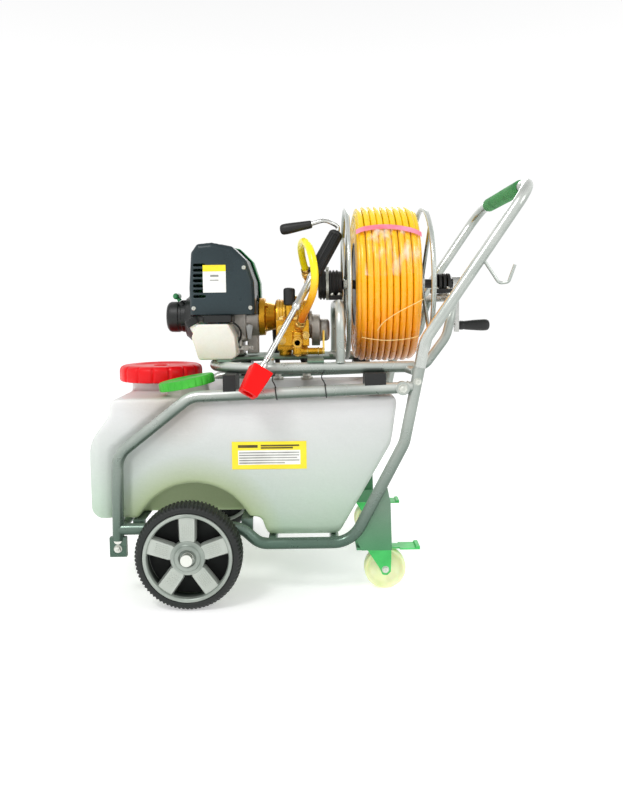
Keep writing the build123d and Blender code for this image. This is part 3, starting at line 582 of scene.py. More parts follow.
def tank_form(p):
    """Moves the tank's side walls in and out, and leaves its front, back, top and floor."""
    share = smooth_step((abs(p.y) - 150) / 34)
    side = 1 if p.y > 0 else -1
    ripple = 0.9 * noise.noise(Vector((p.x, p.y, p.z)) / 60)
    return Vector((p.x, p.y + side * share * (tank_swell(p.x, p.z) + ripple - 0.9), p.z))


def lid_shape(r, h, angle):
    """Cuts the lid's skirt into lobes with narrow creases between them."""
    lobe = 2 * pi / LOBES
    off = abs((angle + lobe / 2) % lobe - lobe / 2)
    if r < LOBE_FROM or h > LOBE_TO:
        return r
    return r - 2.4 * exp(-(off / 0.03) ** 2) - 0.5 * (1 - off / (lobe / 2)) ** 4


def tank_lid():
    profile = [
        (0, 32.2), (9, 32.2), (11, 33.4), (15, 33.4), (17, 31.4), (50, 31), (55, 31.6), (58, 33.2),
        (62, 34), (74, 34), (80, 33.3), (84.5, 31), (87.2, 27), (88, 22), (88, 5), (87, 1.5), (84.5, 0.2),
        (78, 0.2), (77, 2), (77, 25), (66.5, 25), (66.5, 0.6), (63, 0.6), (63, 10.9), (58, 11.2),
        (58, 28), (0, 28),
    ]
    lid = Piece().turn(profile, (LID_X, 0, LID_Z), UP, 320, lid_shape)
    lid.done("tank_lid_moulding", "lid_plastic", "lid", ["tank_lid"])


def side_cap():
    axis = Vector((-sin(CAP_TILT), 0, cos(CAP_TILT)))

    def notches(r, h, angle):
        return r - (1.4 * max(0.0, cos(24 * angle)) ** 3 if r > 52 and h < 16 else 0)

    profile = [
        (0, 15.4), (38, 15.4), (40, 16.2), (42, 17.6), (50, 18), (53, 17.2), (54.7, 14.6), (55, 12),
        (55, 2), (54.4, 0.4), (52, 0), (44, 0), (42, 0.6), (42, 8.7), (0, 8.7),
    ]
    cap = Piece().turn(profile, CAP_SEAT, axis, 240, notches)
    cap.done("side_cap_moulding", "cap_plastic", "small_cap", ["side_cap"])


def drain_plug():
    """The plug in the underside of the tank's sump."""
    profile = [(0, 0), (16, 0), (17, 1), (17, 4), (12, 5), (11, 9), (9.5, 10.5), (0, 10.5)]
    plug = Piece().turn(profile, (30, 0, 115), DOWN, 36)
    plug.done("drain_plug", "black_plastic", "frame")


def printed_panel(name, x0, x1, z0, z1, offset, thick, finish, surface):
    """A thin label or print patch that follows the wall behind it."""
    columns, rows = max(2, int((x1 - x0) / 6)), max(2, int((z1 - z0) / 6))
    across = [x0 + (x1 - x0) * i / columns for i in range(columns + 1)]
    grid = []
    for j in range(rows + 1):
        z = z1 + (z0 - z1) * j / rows
        grid.append([(x, surface(x, z) - offset, z) for x in across])
    Piece().sheet(grid, thick).done(name, finish, "frame")


def tank_wall(x, z):
    """Where the tank's near wall is, along Y."""
    ripple = 0.9 * noise.noise(Vector((x, -TANK_SIDE, z)) / 60)
    return -TANK_SIDE - tank_swell(x, z) - ripple + 0.9


def labels():
    """Two labels whose words and marks are blank bars."""
    printed_panel("caution_label", -146, -2, 247, 301, 0.5, 0.5, "label_film", tank_wall)
    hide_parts("labels")
    printed_panel("caution_panel", -134, -14, 256, 284, 0.9, 0.4, "label_white", tank_wall)
    lines = [(-132, -16), (-132, -16), (-132, -20), (-132, -16), (-132, -44)]
    for k, (x0, x1) in enumerate(lines):
        z = 280.5 - 5 * k
        printed_panel(f"caution_line_{k}", x0, x1, z - 2.2, z, 1.2, 0.25, "label_print", tank_wall)
    heads = [(-134, -96, 289, 5.5), (-90, -16, 291.5, 3.0), (-90, -28, 287, 3.0)]
    for k, (x0, x1, z, tall) in enumerate(heads):
        printed_panel(f"caution_head_{k}", x0, x1, z, z + tall, 0.9, 0.3, "label_dark", tank_wall)

    def shroud_wall(x, z):
        return SHROUD_FACE

    printed_panel("engine_label", -210, -163, 590, 646, 0.3, 0.4, "label_white", shroud_wall)
    printed_panel("engine_header", -210, -163, 633, 646, 0.6, 0.3, "label_film", shroud_wall)
    printed_panel("engine_mark", -195, -178, 622, 626, 0.6, 0.3, "label_print", shroud_wall)
    printed_panel("engine_line", -196, -178, 614, 616, 0.6, 0.3, "label_print", shroud_wall)


# ------ wheels
def tyre(side, name):
    """A tyre with slanted ribs across its tread."""
    def ribs(r, h, angle):
        rise = smooth_step((r - 93) / 4.5)
        wave = cos(80 * angle + 0.055 * h)
        return r - 2.6 * rise * smooth_step(0.5 - 1.6 * wave)

    profile = [
        (83, 5), (83.6, 2), (85.5, 0.8), (88, 0), (91, 0.3), (94.5, 1.8), (97.2, 4.6), (98.9, 8.4),
        (99.8, 13), (100, 18), (100, 24.5), (100, 31), (99.8, 36), (98.9, 40.6), (97.2, 44.4),
        (94.5, 47.2), (91, 48.7), (88, 49), (85.5, 48.2), (83.6, 47), (83, 44), (83, 24.5),
    ]
    origin = (WHEEL_X, side * WHEEL_SIDE, WHEEL_Z)
    body = Piece().turn(profile, origin, (0, side, 0), 640, ribs, loop=True)
    body.done(f"{name}_tread", "tyre_rubber", body_of(name), [name], sharp=50)


def spoke(wheel, origin, out, radial, across):
    """One flat spoke with a chamfered face and rows of raised dashes on it."""
    def at(u, v, w):
        return origin + radial * u + across * v + out * w

    def side_faces(lower, upper):
        for i in range(len(lower)):
            j = (i + 1) % len(lower)
            wheel.bm.faces.new((lower[i], lower[j], upper[j], upper[i]))

    outline = [(27, -13.5), (34, -16), (78, -17.2), (78, 17.2), (34, 16), (27, 13.5)]
    face = [(u + (1.5 if u < 30 else -1.5 if u > 70 else 0), v * 0.84) for u, v in outline]
    levels = [(outline, 31), (outline, 40), (outline, 40), (face, 44.6)]
    low, mid, mid_again, top = [[wheel.bm.verts.new(at(u, v, w)) for u, v in shape] for shape, w in levels]
    side_faces(low, mid)
    wheel.bm.faces.new(list(reversed(low)))
    side_faces(mid_again, top)
    wheel.bm.faces.new(top)
    for row in range(6):
        for dash in range(4):
            u, v = 38 + dash * 6.4 + (row % 2) * 1.6, -9 + row * 3.6
            corners = [at(u, v - 0.7, 44.2), at(u + 4.8, v - 0.7, 44.2), at(u + 4.8, v + 0.7, 44.2),
                       at(u, v + 0.7, 44.2)]
            wheel.prism(corners, out * 1.2)


def rim(side, name):
    """A five-spoke wheel, its axle nut, and a black disc behind its spokes that stands in for the shade
    inside the wheel.
    """
    origin = Vector((WHEEL_X, side * WHEEL_SIDE, WHEEL_Z))
    out = Vector((0, side, 0))
    body = body_of(name)
    wheel = Piece()
    barrel = [
        (83, 1), (83, 48), (82, 49), (78, 49), (76.6, 48.2), (75.6, 45.6), (74.6, 42), (77.6, 40),
        (78, 30), (78, 10), (75, 7), (74.6, 2), (76, 1),
    ]
    wheel.turn(barrel, origin, out, 160, loop=True)
    hub = [
        (8.2, 2), (20, 2), (22, 4), (22, 30), (31, 33), (33, 35), (33, 43), (31.5, 45.5), (28.5, 46.4),
        (26.5, 46), (25.3, 46.6), (23.5, 49.2), (20, 50), (17, 50), (15.4, 48.8), (14.6, 45.4), (8.2, 45),
    ]
    wheel.turn(hub, origin, out, 96, loop=True)
    for k in range(5):
        spin = Matrix.Rotation(-side * 2 * pi * k / 5, 3, "Y")
        spoke(wheel, origin, out, spin @ Vector(UP), spin @ Vector(ALONG_X))
    wheel.done(f"{name}_casting", "rim_metal", body, [name], sharp=40)
    cap = Piece().nut(origin + out * 45, out, 8.5, 5)
    cap.done(f"{name}_nut", "zinc", body)
    # Painted shade: a black disc set behind the spokes in place of the shade inside the wheel.
    dark = Piece().turn([(23, 14), (77, 14), (77, 16), (23, 16)], origin, out, 64, loop=True)
    dark.done(f"{name}_shade_disc", "shade_black", body)


def caster(side, name):
    """A caster's wheel and the nuts of its axle bolt."""
    y = side * CASTER_Y
    profile = [
        (5.2, 4.4), (12, 4.4), (13.2, 5.6), (13.6, 8.6), (28, 8.6), (31, 6.6), (33, 3), (37, 0.6),
        (39.6, 1.6), (40.8, 4.6), (41, 9), (41, 15), (40.8, 19.4), (39.6, 22.4), (37, 23.4), (33, 21),
        (31, 17.4), (28, 15.4), (13.6, 15.4), (13.2, 18.4), (12, 19.6), (5.2, 19.6),
    ]
    wheel = Piece().turn(profile, (CASTER_X, y - 12, CASTER_Z), ALONG_Y, 96, loop=True)
    node = f"caster_wheel_{name}"
    wheel.done(f"{node}_moulding", "caster_nylon", body_of(node), [node])
    bolt = Piece()
    for s in (-1, 1):
        bolt.nut((CASTER_X, y + s * 16.9, CASTER_Z), (0, s, 0), 5.4, 3)
    bolt.done(f"caster_axle_nuts_{name}", "zinc", f"caster_{name}")


# ------ frame details
def weld(piece, centre, axis, r, size=1.6):
    """A lumpy bead round a tube of radius r."""
    def lumps(reach, h, angle):
        return reach + 0.35 * cos(17 * angle) * (1 if reach > r else 0)

    ring = [(r + size * cos(a), size * sin(a)) for a in (radians(45 * k) for k in range(8))]
    piece.turn(ring, centre, axis, 48, lumps, loop=True)


def rail_height(x):
    """The top rail climbs a little from its front bend to the rear leg."""
    share = (x - RAIL_START.x) / (RAIL_END.x - RAIL_START.x)
    return RAIL_START.y + (RAIL_END.y - RAIL_START.y) * share


def frame_welds():
    beads = Piece()
    for s in (-1, 1):
        for x, z in ((-70, LOW_RAIL_Z), (50, LOW_RAIL_Z), (-363, 137)):
            weld(beads, (x, s * 194.6, z), ALONG_Y, 9)
        weld(beads, (66, s * 170, 450.5), UP, 9)
        weld(beads, (192, s * RAIL_Y, rail_height(192)), (1, 0, 0.03), 11)
        weld(beads, (WHEEL_X, s * 209.4, WHEEL_Z), ALONG_Y, 13, 1.2)
    beads.done("frame_welds", "frame_paint", "frame")


def bolts():
    made = Piece()
    for s in (-1, 1):
        clamp = Vector((214, s * 216.0, 441)) - LEAN * 26
        made.nut((-366, s * 210, 100), (0, s, 0), 6)
        made.nut((181, s * 218.4, 403), (0, s, 0), 6.8)
        made.nut(clamp, (0, s, 0), 5.6)
        made.turn([(0, 0), (7.4, 0), (7.4, 1.2), (0, 1.2)], (-366, s * 210, 116), (0, s, 0), 24)
    made.done("frame_nuts", "zinc", "frame", ["frame_bolts"])


def ring_points(centre, axis, r, count=12):
    basis = basis_of(axis)
    return [
        Vector(centre) + basis @ Vector((r * cos(2 * pi * k / count), r * sin(2 * pi * k / count), 0))
        for k in range(count)
    ]


def ties():
    """Black wire ties round the near top rail, with their loose tails."""
    for k, x in enumerate((-58, 36)):
        z = rail_height(x)
        wire(f"rail_tie_{k}", ring_points((x, -RAIL_Y, z), (1, 0, 0.12), 12.8), 1.1, "rope_black", "frame",
             cyclic=True)
        tail = [(x, -211, z + 11), (x - 3, -208, z + 18), (x - 8, -200, z + 24), (x - 6, -192, z + 32),
                (x - 2, -182, z + 36)]
        wire(f"rail_tie_tail_{k}", tail, 1.1, "rope_black", "frame")


def bearing_clamp():
    """The band round the front bearing's ribbed sleeve, with its lug."""
    band = [(30.6, -3), (33, -3), (33, 3), (30.6, 3)]
    clamp = Piece().turn(band, (45.9, 0, REEL_Z), ALONG_X, 64, loop=True)
    clamp.block(42.5, 49.5, -12, 8, 637, 643)
    clamp.done("bearing_clamp", "zinc", "frame", bevel=0.5)


def handle_grip():
    def worn(r, h, angle):
        return r + 0.25 * sin(5 * angle) * sin(h / 21) if r > 14 else r

    profile = [(11.1, 0), (12.6, 0.4), (14.2, 2.4), (14.9, 8)]
    profile += [(15, 24 + 26 * k) for k in range(9)]
    profile += [(14.9, 248), (14.2, 253.6), (12.6, 255.6), (11.1, 256)]
    grip = Piece().turn(profile, HANDLE_TOP - Vector((0, 128, 0)), ALONG_Y, 64, worn, loop=True)
    grip.done("handle_foam", "grip_foam", "handle", ["handle_grip"])


# ------ engine
def shroud_form(grow, face, way):
    """Rounds the edge between a shroud's flat face, where Y is face, and its rim.

    The body lies in direction way from the face, and its outline is larger by grow.
    """
    def grown(x, z):
        return Vector((x + (grow if x > -200 else 0), z + (0.6 * grow if z > 650 else 0)))

    sides = []
    corners = [grown(x, z) for x, z in SHROUD_OUTLINE]
    for a, b in zip(corners, corners[1:]):
        along = (b - a).normalized()
        sides.append((a, Vector((along.y, -along.x))))

    def form(p):
        depths = [(Vector((p.x, p.z)) - a).dot(inward) for a, inward in sides]
        weights = [exp(-max(0.0, d) / 5) for d in depths]
        total = sum(weights)
        inward = sum((n * w for (_, n), w in zip(sides, weights)), Vector((0, 0))) / total
        edge, deep = max(0.0, min(depths)), max(0.0, (p.y - face) * way)
        u, v = max(0.0, SHROUD_EDGE - edge), max(0.0, SHROUD_EDGE - deep)
        if u == 0 or v == 0:
            return Vector(p)
        share = 1 - max(u, v) / hypot(u, v)
        shift = inward * (u * share)
        return Vector((p.x + shift.x, p.y + way * v * share, p.z + shift.y))

    return form


def recoil():
    """The starter's drum with its rope eye and feet, and the pull grip above it."""
    profile = [
        (0, 2.2), (9, 2.2), (11, 0.6), (21, 0.2), (27, 1.2), (31, 4.2), (33, 9), (33, 25), (31.8, 26.4),
        (31.8, 32), (33, 33.4), (33, 41.6), (0, 41.6),
    ]
    drum = Piece().turn(profile, (-300, 0, SHAFT_Z + 2), ALONG_X, 72)
    drum.rod((-265, -16, 564), (-270, -16, 573), 7)
    for k in range(3):
        y, rise = 33 * cos(radians(90 + 120 * k)), sin(radians(90 + 120 * k))
        drum.block(-268, -257.5, y - 4, y + 4, SHAFT_Z + 30 * rise, SHAFT_Z + 36 * rise + 2)
    drum.done("recoil_cover", "black_plastic", "frame", ["recoil_starter"])
    eye = Vector((-270.4, -16, 573.8))
    pull = Vector((-0.5, 0, 0.866))
    stem = Piece().turn([(0, 0.6), (4.6, 0.6), (4.2, 4), (4.6, 7), (0, 7)], eye, pull, 24)
    half = [(0, 0), (3, 0.4), (5.4, 2.6), (6.5, 7), (6, 16)]
    bar = half + [(5.6, 22)] + [(r, 44 - h) for r, h in reversed(half)]
    stem.turn(bar, eye + pull * 12 - Vector((0, 22, 0)), ALONG_Y, 32)
    stem.done("starter_handle", "shell_green", "starter_pull", ["starter_grip"])


def fuel_cap():
    def knurl(r, h, angle):
        return r - (0.8 * max(0.0, cos(18 * angle)) if r > 13 else 0)

    profile = [
        (0, 14.2), (6, 14.2), (9, 15), (12, 14.8), (13.5, 13), (13.5, 0.6), (12.8, 0), (10.6, 0),
        (10.6, 7.6), (0, 7.6),
    ]
    axis = Vector((-12, 0, 22)).normalized()
    cap = Piece().turn(profile, Vector((-231, -104, 530)) - axis * 7, axis, 144, knurl)
    cap.done("fuel_cap_moulding", "black_plastic", "petrol_cap", ["fuel_cap"])


def engine_details():
    """Screws, fuel pipes, the choke's bracket and the cushions under the engine."""
    screws = Piece()
    head = [(0, 0), (4.4, 0), (4.4, 1.2), (3.4, 2.2), (1.6, 2.4), (1.4, 1.4), (0, 1.4)]
    for x, z in ((-230, 558), (-114, 558), (-126, 640)):
        screws.turn(head, (x, SHROUD_FACE + 0.4, z), (0, -1, 0), 20)
    for k in range(6):
        a = radians(30 + 60 * k)
        if sin(a) < 0.3:
            screws.nut((-128, 39 * cos(a), SHAFT_Z + 39 * sin(a)), (-1, 0, 0), 3, 3)
    screws.done("engine_screws", "zinc", "frame")
    fuel_route = [
        (-222, -80, 516), (-232, -78, 524), (-238, -74, 534), (-232, -70, 540), (-216, -66, 538),
        (-206, -62, 536),
    ]
    wire("fuel_pipe", fuel_route, 2.2, "fuel_plastic", "frame")
    primer_route = [
        (-150, -88, 528), (-140, -84, 522), (-134, -78, 508), (-138, -70, 492), (-146, -62, 480),
    ]
    wire("primer_pipe", primer_route, 2.0, "black_rubber", "frame")
    linkage = Piece()
    linkage.block(-140, -136, -62, -44, 474, 516)
    linkage.block(-140, -112, -62, -59, 470, 478)
    linkage.rod((-138, -64, 500), (-138, -44, 500), 5)
    linkage.rod((-126, -64, 474), (-126, -50, 474), 6)
    linkage.nut((-134, -62, 496), (0, -1, 0), 4, 3)
    linkage.nut((-118, -62, 474), (0, -1, 0), 4, 3)
    linkage.done("choke_bracket", "cast_alloy", "frame", bevel=0.4)
    mounts = Piece()
    disc = [(0, 0), (13.5, 0), (13.8, 1), (12.6, 2.2), (12.6, 3.4), (0, 3.4)]
    for x in (-190, -146):
        for y in (-22, 22):
            mounts.turn(disc, (x, y, DECK_TOP), UP, 32)
    mounts.done("engine_cushions", "black_rubber", "frame")


# ------ pump
def pump_fittings():
    """Nuts, plugs and ribbed sleeves on the pump's head and outlet valve."""
    brass = Piece()
    for k in range(4):
        a = pi / 4 + k * pi / 2
        brass.nut((-88, 36 * cos(a), SHAFT_Z + 36 * sin(a)), ALONG_X, 4.2, 3.6)
    for x, r in ((-50, 7.5), (-20, 7.5), (-4, 6)):
        brass.nut((x, -85, 531.6), UP, r, r * 0.8)
    for x, z, r, height in ((-50, 512, 7.5, 6), (-2, 500, 6.5, 6), (-50, 490, 6.5, 5)):
        brass.nut((x, -91.6, z), (0, -1, 0), r, height)
    brass.nut((-18, -96, 462.2), DOWN, 7, 3)
    brass.nut((31.6, -96, 468), ALONG_X, 5.6, 2)
    ridge = [(10.4, -0.8), (11.1, -0.3), (11.1, 0.3), (10.4, 0.8)]
    for z in (476, 484, 492, 500):
        brass.turn(ridge, (-18, -96, z), UP, 40, loop=True)
    collar = [(6.8, -1.6), (8.2, -1.2), (8.2, 1.2), (6.8, 1.6)]
    for x in (-20, 2, 24):
        brass.turn(collar, (x, -96, 468), ALONG_X, 32, loop=True)
    brass.done("pump_fittings", "fitting_brass", "frame")


def pump_ribs():
    """The ribs round the pump's case, and its oil plug on top."""
    case = Piece()
    rib = [(35.6, -0.9), (37.2, -0.5), (37.2, 0.5), (35.6, 0.9)]
    for k in range(10):
        case.turn(rib, (-60 + 6.4 * k, 0, SHAFT_Z), ALONG_X, 72, loop=True)
    case.nut((-30, 0, SHAFT_Z + 35.6), UP, 10, 8)
    case.done("pump_ribs", "brass", "frame")


def link_hose_ends():
    """A ferrule and a union nut on each end of the link hose."""
    ferrule = [
        (8.2, 0), (10.6, 0), (11, 0.8), (11, 6), (10.4, 7), (9.6, 7.4), (9.6, 16), (9, 17), (8.0, 17),
    ]
    union = [(8, -8), (11.4, -8), (11.9, -7), (11.9, -1), (11.4, 0), (8, 0)]
    ends = Piece()
    for end, beside in ((LINK_ROUTE[0], LINK_ROUTE[1]), (LINK_ROUTE[-1], LINK_ROUTE[-2])):
        way = (Vector(beside) - Vector(end)).normalized()
        seat = Vector(end) - way * 3
        ends.turn(ferrule, seat, way, 40, loop=True)
        ends.turn(union, seat, way, 6, loop=True)
    ends.done("link_hose_ends", "fitting_brass", "frame")


def regulator():
    def knurl(r, h, angle):
        return r - (0.7 * max(0.0, cos(20 * angle)) if r > 11.4 and 3 < h < 32 else 0)

    profile = [(0, 0), (10.5, 0), (12, 1.4), (12, 30), (10.8, 33.4), (8, 35.2), (4, 35.6), (0, 35.6)]
    knob = Piece().turn(profile, (-34, -86, 562.4), UP, 160, knurl)
    knob.done("regulator_grip", "black_plastic", "regulator", ["regulator_knob"])


def outlet_barbs():
    """The hose barbs of the spare outlet nipple."""
    core, tip = 5.7, 7.1
    profile = [(0, 0)]
    for k in range(5):
        profile += [(core, 4 * k + 0.01), (tip, 4 * k + 3.0), (core, 4 * k + 3.6)]
    profile += [(core, 20), (0, 20)]
    nipple = Piece().turn(profile, OUTLET, (0, -1, 0), 40)
    nipple.done("outlet_barbs", "fitting_brass", "frame")


# ------ hoses
HOSE_R = 6.3
LAYERS, LAYER_STEP, FIRST_R = 7, 11.05, 96.2
TURNS_ACROSS = 9
POINTS_PER_TURN = 16
SHOULDER_DROP = 5.0  # how much lower the outer turns lie at the winding's two ends
WRAP_R = 168.4


def shoulder(x, low, high):
    """0 along the middle of the winding, and up to 1 at its ends."""
    return max(0.0, abs(2 * (x - low) / (high - low) - 1) - 0.72) / 0.28


def coil_points():
    """One continuous winding: nine steps across, one turn to climb, and back again."""
    low, high = COIL_X0 + HOSE_R + 0.4, COIL_X1 - HOSE_R - 0.4
    per_layer = (TURNS_ACROSS + 1) * POINTS_PER_TURN
    points = []
    for k in range(LAYERS * per_layer):
        layer, step = divmod(k, per_layer)
        turn = step / POINTS_PER_TURN
        across = min(turn, TURNS_ACROSS) / TURNS_ACROSS
        climb = smooth_step(turn - TURNS_ACROSS) if layer < LAYERS - 1 else 0
        x = low + (high - low) * (across if layer % 2 == 0 else 1 - across)
        r = FIRST_R + LAYER_STEP * (layer + climb)
        angle = 2 * pi * k / POINTS_PER_TURN
        loose = noise.noise(Vector((x / 14, layer * 3.1, angle / 2.2)))
        outer = layer / (LAYERS - 1)
        r -= outer * (SHOULDER_DROP * shoulder(x, low, high) ** 2 + 0.9 * abs(loose))
        x = max(low, min(high, x + 1.1 * loose * outer))
        points.append((x, r * cos(angle), REEL_Z + r * sin(angle)))
    return points


def hoses():
    """The winding, the link hose, and the tank's two hoses with their clamps."""
    wire("spray_hose_winding", coil_points(), HOSE_R, "hose_yellow", "reel", ["wound_hose"],
         sides=3, fine=3)
    wire("link_hose_tube", LINK_ROUTE, 7.5, "hose_bright", "frame", ["link_hose"], sides=7, fine=10)
    wire("suction_hose", SUCTION_ROUTE, 8, "black_rubber", "frame", ["tank_hoses"], sides=6, fine=10)
    wire("return_hose", RETURN_ROUTE, 6, "black_rubber", "frame", sides=6, fine=10)
    collars = Piece()
    for route, r in ((SUCTION_ROUTE, 8), (RETURN_ROUTE, 6)):
        x, y, z = route[-1]
        band = [(r - 0.4, -3.4), (r + 1.6, -3.4), (r + 1.6, 3.4), (r - 0.4, 3.4)]
        nut = [(r + 1, 0), (r + 7, 0), (r + 7.4, 0.8), (r + 7.4, 5), (r + 6, 6), (r, 6)]
        collars.turn(band, (x, y, z + 9.5), UP, 40, loop=True)
        collars.turn(nut, (x, y, z - 0.3), UP, 6, loop=True)
    collars.done("tank_hose_clamps", "zinc", "frame")


def around_coil(x, angle, lift):
    """A point on the winding: angle 0 faces the near side and rises."""
    r = WRAP_R + lift - SHOULDER_DROP * shoulder(x, COIL_X0, COIL_X1) ** 2
    return (x, -r * cos(angle), REEL_Z + r * sin(angle))


def coil_wrap():
    """Clear film, a pink tape and two strings that keep the new hose from unwinding."""
    columns, rows = 22, 26
    film = []
    for j in range(rows + 1):
        angle = radians(38 - 34 * j / rows)
        row = []
        for i in range(columns + 1):
            x = COIL_X0 + 14 + (COIL_X1 - COIL_X0 - 20) * i / columns
            crinkle = noise.noise(Vector((x / 9, j * 0.7, 4.0)))
            fade = 5 * noise.noise(Vector((x / 24, 8.0, 0))) * (1 if j in (0, rows) else 0)
            row.append(around_coil(x, angle + radians(fade * 0.4), 1.3 + 0.45 * crinkle))
        film.append(row)
    Piece().sheet(film, 0.12).done("wrap_film", "wrap_film", "reel", sharp=80)
    tape = []
    for j in range(5):
        row = []
        for i in range(31):
            share = i / 30
            x = COIL_X0 - 0.4 + (COIL_X1 - COIL_X0 + 0.8) * share
            angle = radians(39 + 4.5 * sin(pi * share) - 3 * share - 1.05 * j)
            row.append(around_coil(x, angle, 1.9 + 0.35 * noise.noise(Vector((x / 7, j, 0)))))
        tape.append(row)
    Piece().sheet(tape, 0.2).done("wrap_tape", "tape_pink", "reel", sharp=80)
    strings = [
        [(COIL_X0 + 40 + 88 * k / 12, radians(-34 + 22 * (k / 12) ** 0.6)) for k in range(13)],
        [(COIL_X0 + 10 + 112 * k / 12, radians(-40 - 3 * sin(pi * k / 12))) for k in range(13)],
    ]
    for index, string in enumerate(strings):
        route = [around_coil(x, angle, 1.2) for x, angle in string]
        wire(f"wrap_string_{index}", route, 0.8, "string_cream", "reel")


# ------ reel and gun
def reel_bearings():
    """The two rubber bearing blocks, and the bolts that hold them to the posts."""
    ribbed = [(REEL_BORE, 0), (26, 0), (29, 1)]
    for k in range(6):
        ribbed += [(29, 3 + 7 * k), (32, 4 + 7 * k), (32, 7 + 7 * k), (29, 8 + 7 * k)]
    ribbed += [(29, 50), (26, 52.6), (REEL_BORE, 52.6)]
    bearing = Piece().turn(ribbed, (26.2, 0, REEL_Z), ALONG_X, 96, loop=True)
    bearing.block(50, 77, -28, 28, 572.4, 582)
    bearing.block(272.4, 312.6, -21.6, 21.6, 583.6, REEL_Z - 12)
    ring = [(REEL_BORE, 0), (20, 0), (21.8, 1.2), (21.8, 6.4), (20, 7.6), (REEL_BORE, 7.6)]
    for k in range(4):
        bearing.turn(ring, (275 + 9.4 * k, 0, REEL_Z), ALONG_X, 72, loop=True)
    bearing.done("reel_bearing_blocks", "black_rubber", "frame", ["reel_bearings"], sharp=40)
    fixings = Piece()
    for x, y, z in ((56, 22, 582), (71, 22, 582), (280, 16, REEL_Z - 12), (305, 16, REEL_Z - 12)):
        for s in (-1, 1):
            fixings.nut((x, s * y, z), UP, 4.4, 4)
    fixings.done("reel_bearing_bolts", "zinc", "frame")


def hose_swivel():
    """The brass swivel on the reel's axle, with the port that the link hose goes to."""
    middle = (-4, 0, REEL_Z)
    barrel = [(0, 0), (8, 0), (9, 1), (13, 2.4), (13, 18), (11, 20), (11, 29.6), (0, 29.6)]
    swivel = Piece().turn(barrel, middle, ALONG_X, 48)
    swivel.turn([(13, 5), (14.6, 5.6), (14.6, 12), (13, 12.6)], middle, ALONG_X, 6, loop=True)
    port = Vector(LINK_ROUTE[-1])
    flow = (port - Vector(LINK_ROUTE[-2])).normalized()
    swivel.rod(port - flow * 1, port + flow * 24, 8.8, 32)
    swivel.done("hose_swivel", "fitting_brass", "frame")


def crank_grip():
    profile = [
        (4.3, 0), (8, 0), (9.4, 1), (10, 4), (10, 8), (9.2, 10), (9.8, 14), (11.2, 30), (12.2, 46),
        (12.5, 54), (12, 60), (10, 64), (6.4, 65.8), (0, 66), (0, 63.4), (4.3, 63.2),
    ]
    grip = Piece().turn(profile, CRANK_GRIP, ALONG_X, 56, loop=True)
    grip.done("crank_handle", "black_rubber", "crank_knob", ["crank_grip"])


def gun():
    """The stowed spray gun: fluted grip, lance and jet in one line from GUN_TOP to GUN_END."""
    axis = (GUN_END - GUN_TOP).normalized()

    def flutes(r, h, angle):
        return r - (1.5 * smooth_step(0.5 + 1.4 * cos(16 * angle)) if r > 13.2 and 10 < h < 96 else 0)

    profile = [(0, 0), (9, 0), (12.4, 1.2), (14.4, 4), (14.8, 8), (14.4, 9.6), (14, 11)]
    profile += [(14.6, 14 + 8 * k) for k in range(10)]
    profile += [(14, 94), (14.8, 97), (14.8, 101), (13, 103.6), (0, 104)]
    grip = Piece().turn(profile, GUN_TOP, axis, 192, flutes)
    grip.done("gun_grip", "black_rubber", "frame", ["gun_body"])
    tube = [
        (0, 104), (8, 104), (8.8, 106), (8.8, 118), (8, 120), (7.6, 128), (7.2, 176), (8.2, 178),
        (8.2, 186), (7, 188), (5.5, 190), (5.5, 300), (6.4, 301), (6.4, 304), (5.5, 305), (5.5, 316),
        (8, 317), (8, 328), (0, 328),
    ]
    lance = Piece().turn(tube, GUN_TOP, axis, 48)
    lance.turn([(8.4, 106), (10.4, 107), (10.4, 116), (8.4, 117)], GUN_TOP, axis, 6, loop=True)
    lance.done("gun_lance", "crank_steel", "frame")
    cone = [(0, 329), (8, 329), (9.4, 330), (9.4, 341), (6, 346), (3.4, 347), (3, 345), (0, 345)]
    jet = Piece().turn(cone, GUN_TOP, axis, 36)
    jet.done("gun_jet", "fitting_brass", "frame")


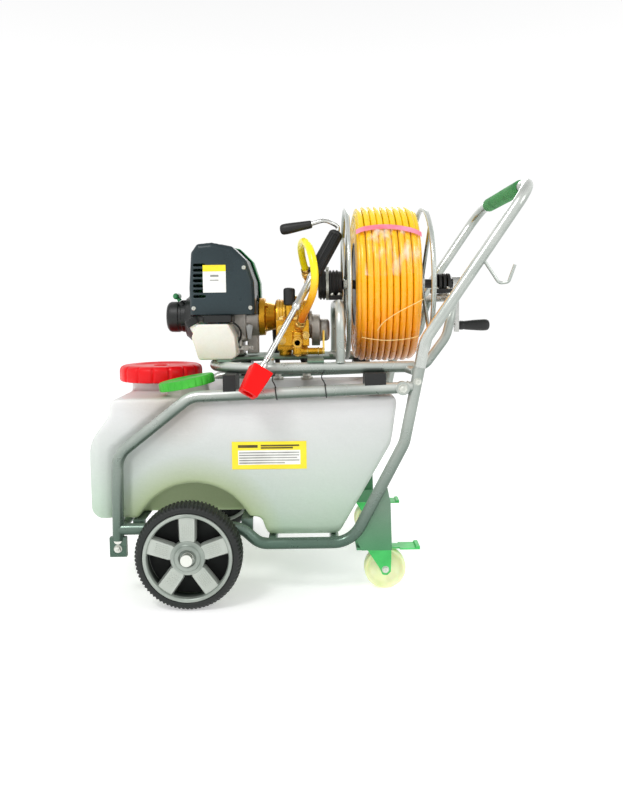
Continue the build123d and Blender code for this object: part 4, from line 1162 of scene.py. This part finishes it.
def gun_handle():
    """The gun's turning handle: a bent rod out of its top, and the rubber grip on it."""
    axis = (GUN_END - GUN_TOP).normalized()
    start, end = Vector((14, -101, 724)), Vector((-50, -92, 714))
    length = (end - start).length
    profile = [
        (0, 0), (6, 0), (7.6, 1), (8.2, 5), (9, 20), (10.4, 40), (11, 52), (10.6, 60), (8.4, length - 1.6),
        (5, length - 0.2), (0, length),
    ]
    bar = Piece().turn(profile, start, end - start, 48)
    bar.done("gun_handle_grip", "black_rubber", "gun_twist", ["gun_handle"])
    route = [GUN_TOP - axis * 0.4, GUN_TOP - axis * 14] + ROD_ROUTE
    wire("gun_handle_rod", route, 4.4, "crank_steel", "gun_twist", sides=6)


# ------ making everything
FINISH = make_finishes()
SLOT_OF = {row["node"]: row["material_slot"] for row in frame["record"]["subparts"]}
for node_name, node in frame["nodes"].items():
    node.data.materials.clear()
    node.data.materials.append(FINISH[SLOT_OF[node_name]][0])
frame["nodes"]["shroud_back"].data.materials[0] = FINISH["shell_green"][0]

make_camera()
make_studio()
make_floor()
hoses()
coil_wrap()
soft("tank", 3.0, 26, tank_form)
tank_lid()
side_cap()
drain_plug()
labels()
for side_sign, side_name in ((-1, "left"), (1, "right")):
    tyre(side_sign, f"tyre_{side_name}")
    rim(side_sign, f"wheel_rim_{side_name}")
    caster(side_sign, side_name)
    soft(f"caster_fork_{side_name}", 1.1, 3)
    soft(f"brake_pedal_{side_name}", 0.9, 4)
frame_welds()
bolts()
ties()
bearing_clamp()
handle_grip()
soft("engine_shroud", 1.5, 6, shroud_form(0, SHROUD_FACE, 1))
soft("shroud_back", 1.5, 6, shroud_form(5, SHROUD_BACK, -1), "shell_green")
for part, voxel_size, rounds in (
    ("fan_housing", 1.6, 3), ("engine_fuel_tank", 1.6, 12), ("crankcase", 1.6, 4),
    ("clutch_housing", 1.5, 4), ("air_filter", 1.4, 4), ("muffler", 1.6, 3),
):
    soft(part, voxel_size, rounds)
recoil()
fuel_cap()
engine_details()
for part, voxel_size, rounds in (
    ("pump_flange", 1.4, 3), ("pump_crankcase", 1.5, 5), ("pump_head", 1.3, 4), ("air_dome", 1.3, 4),
):
    soft(part, voxel_size, rounds)
pump_fittings()
pump_ribs()
link_hose_ends()
regulator()
outlet_barbs()
reel_bearings()
hose_swivel()
crank_grip()
gun()
gun_handle()
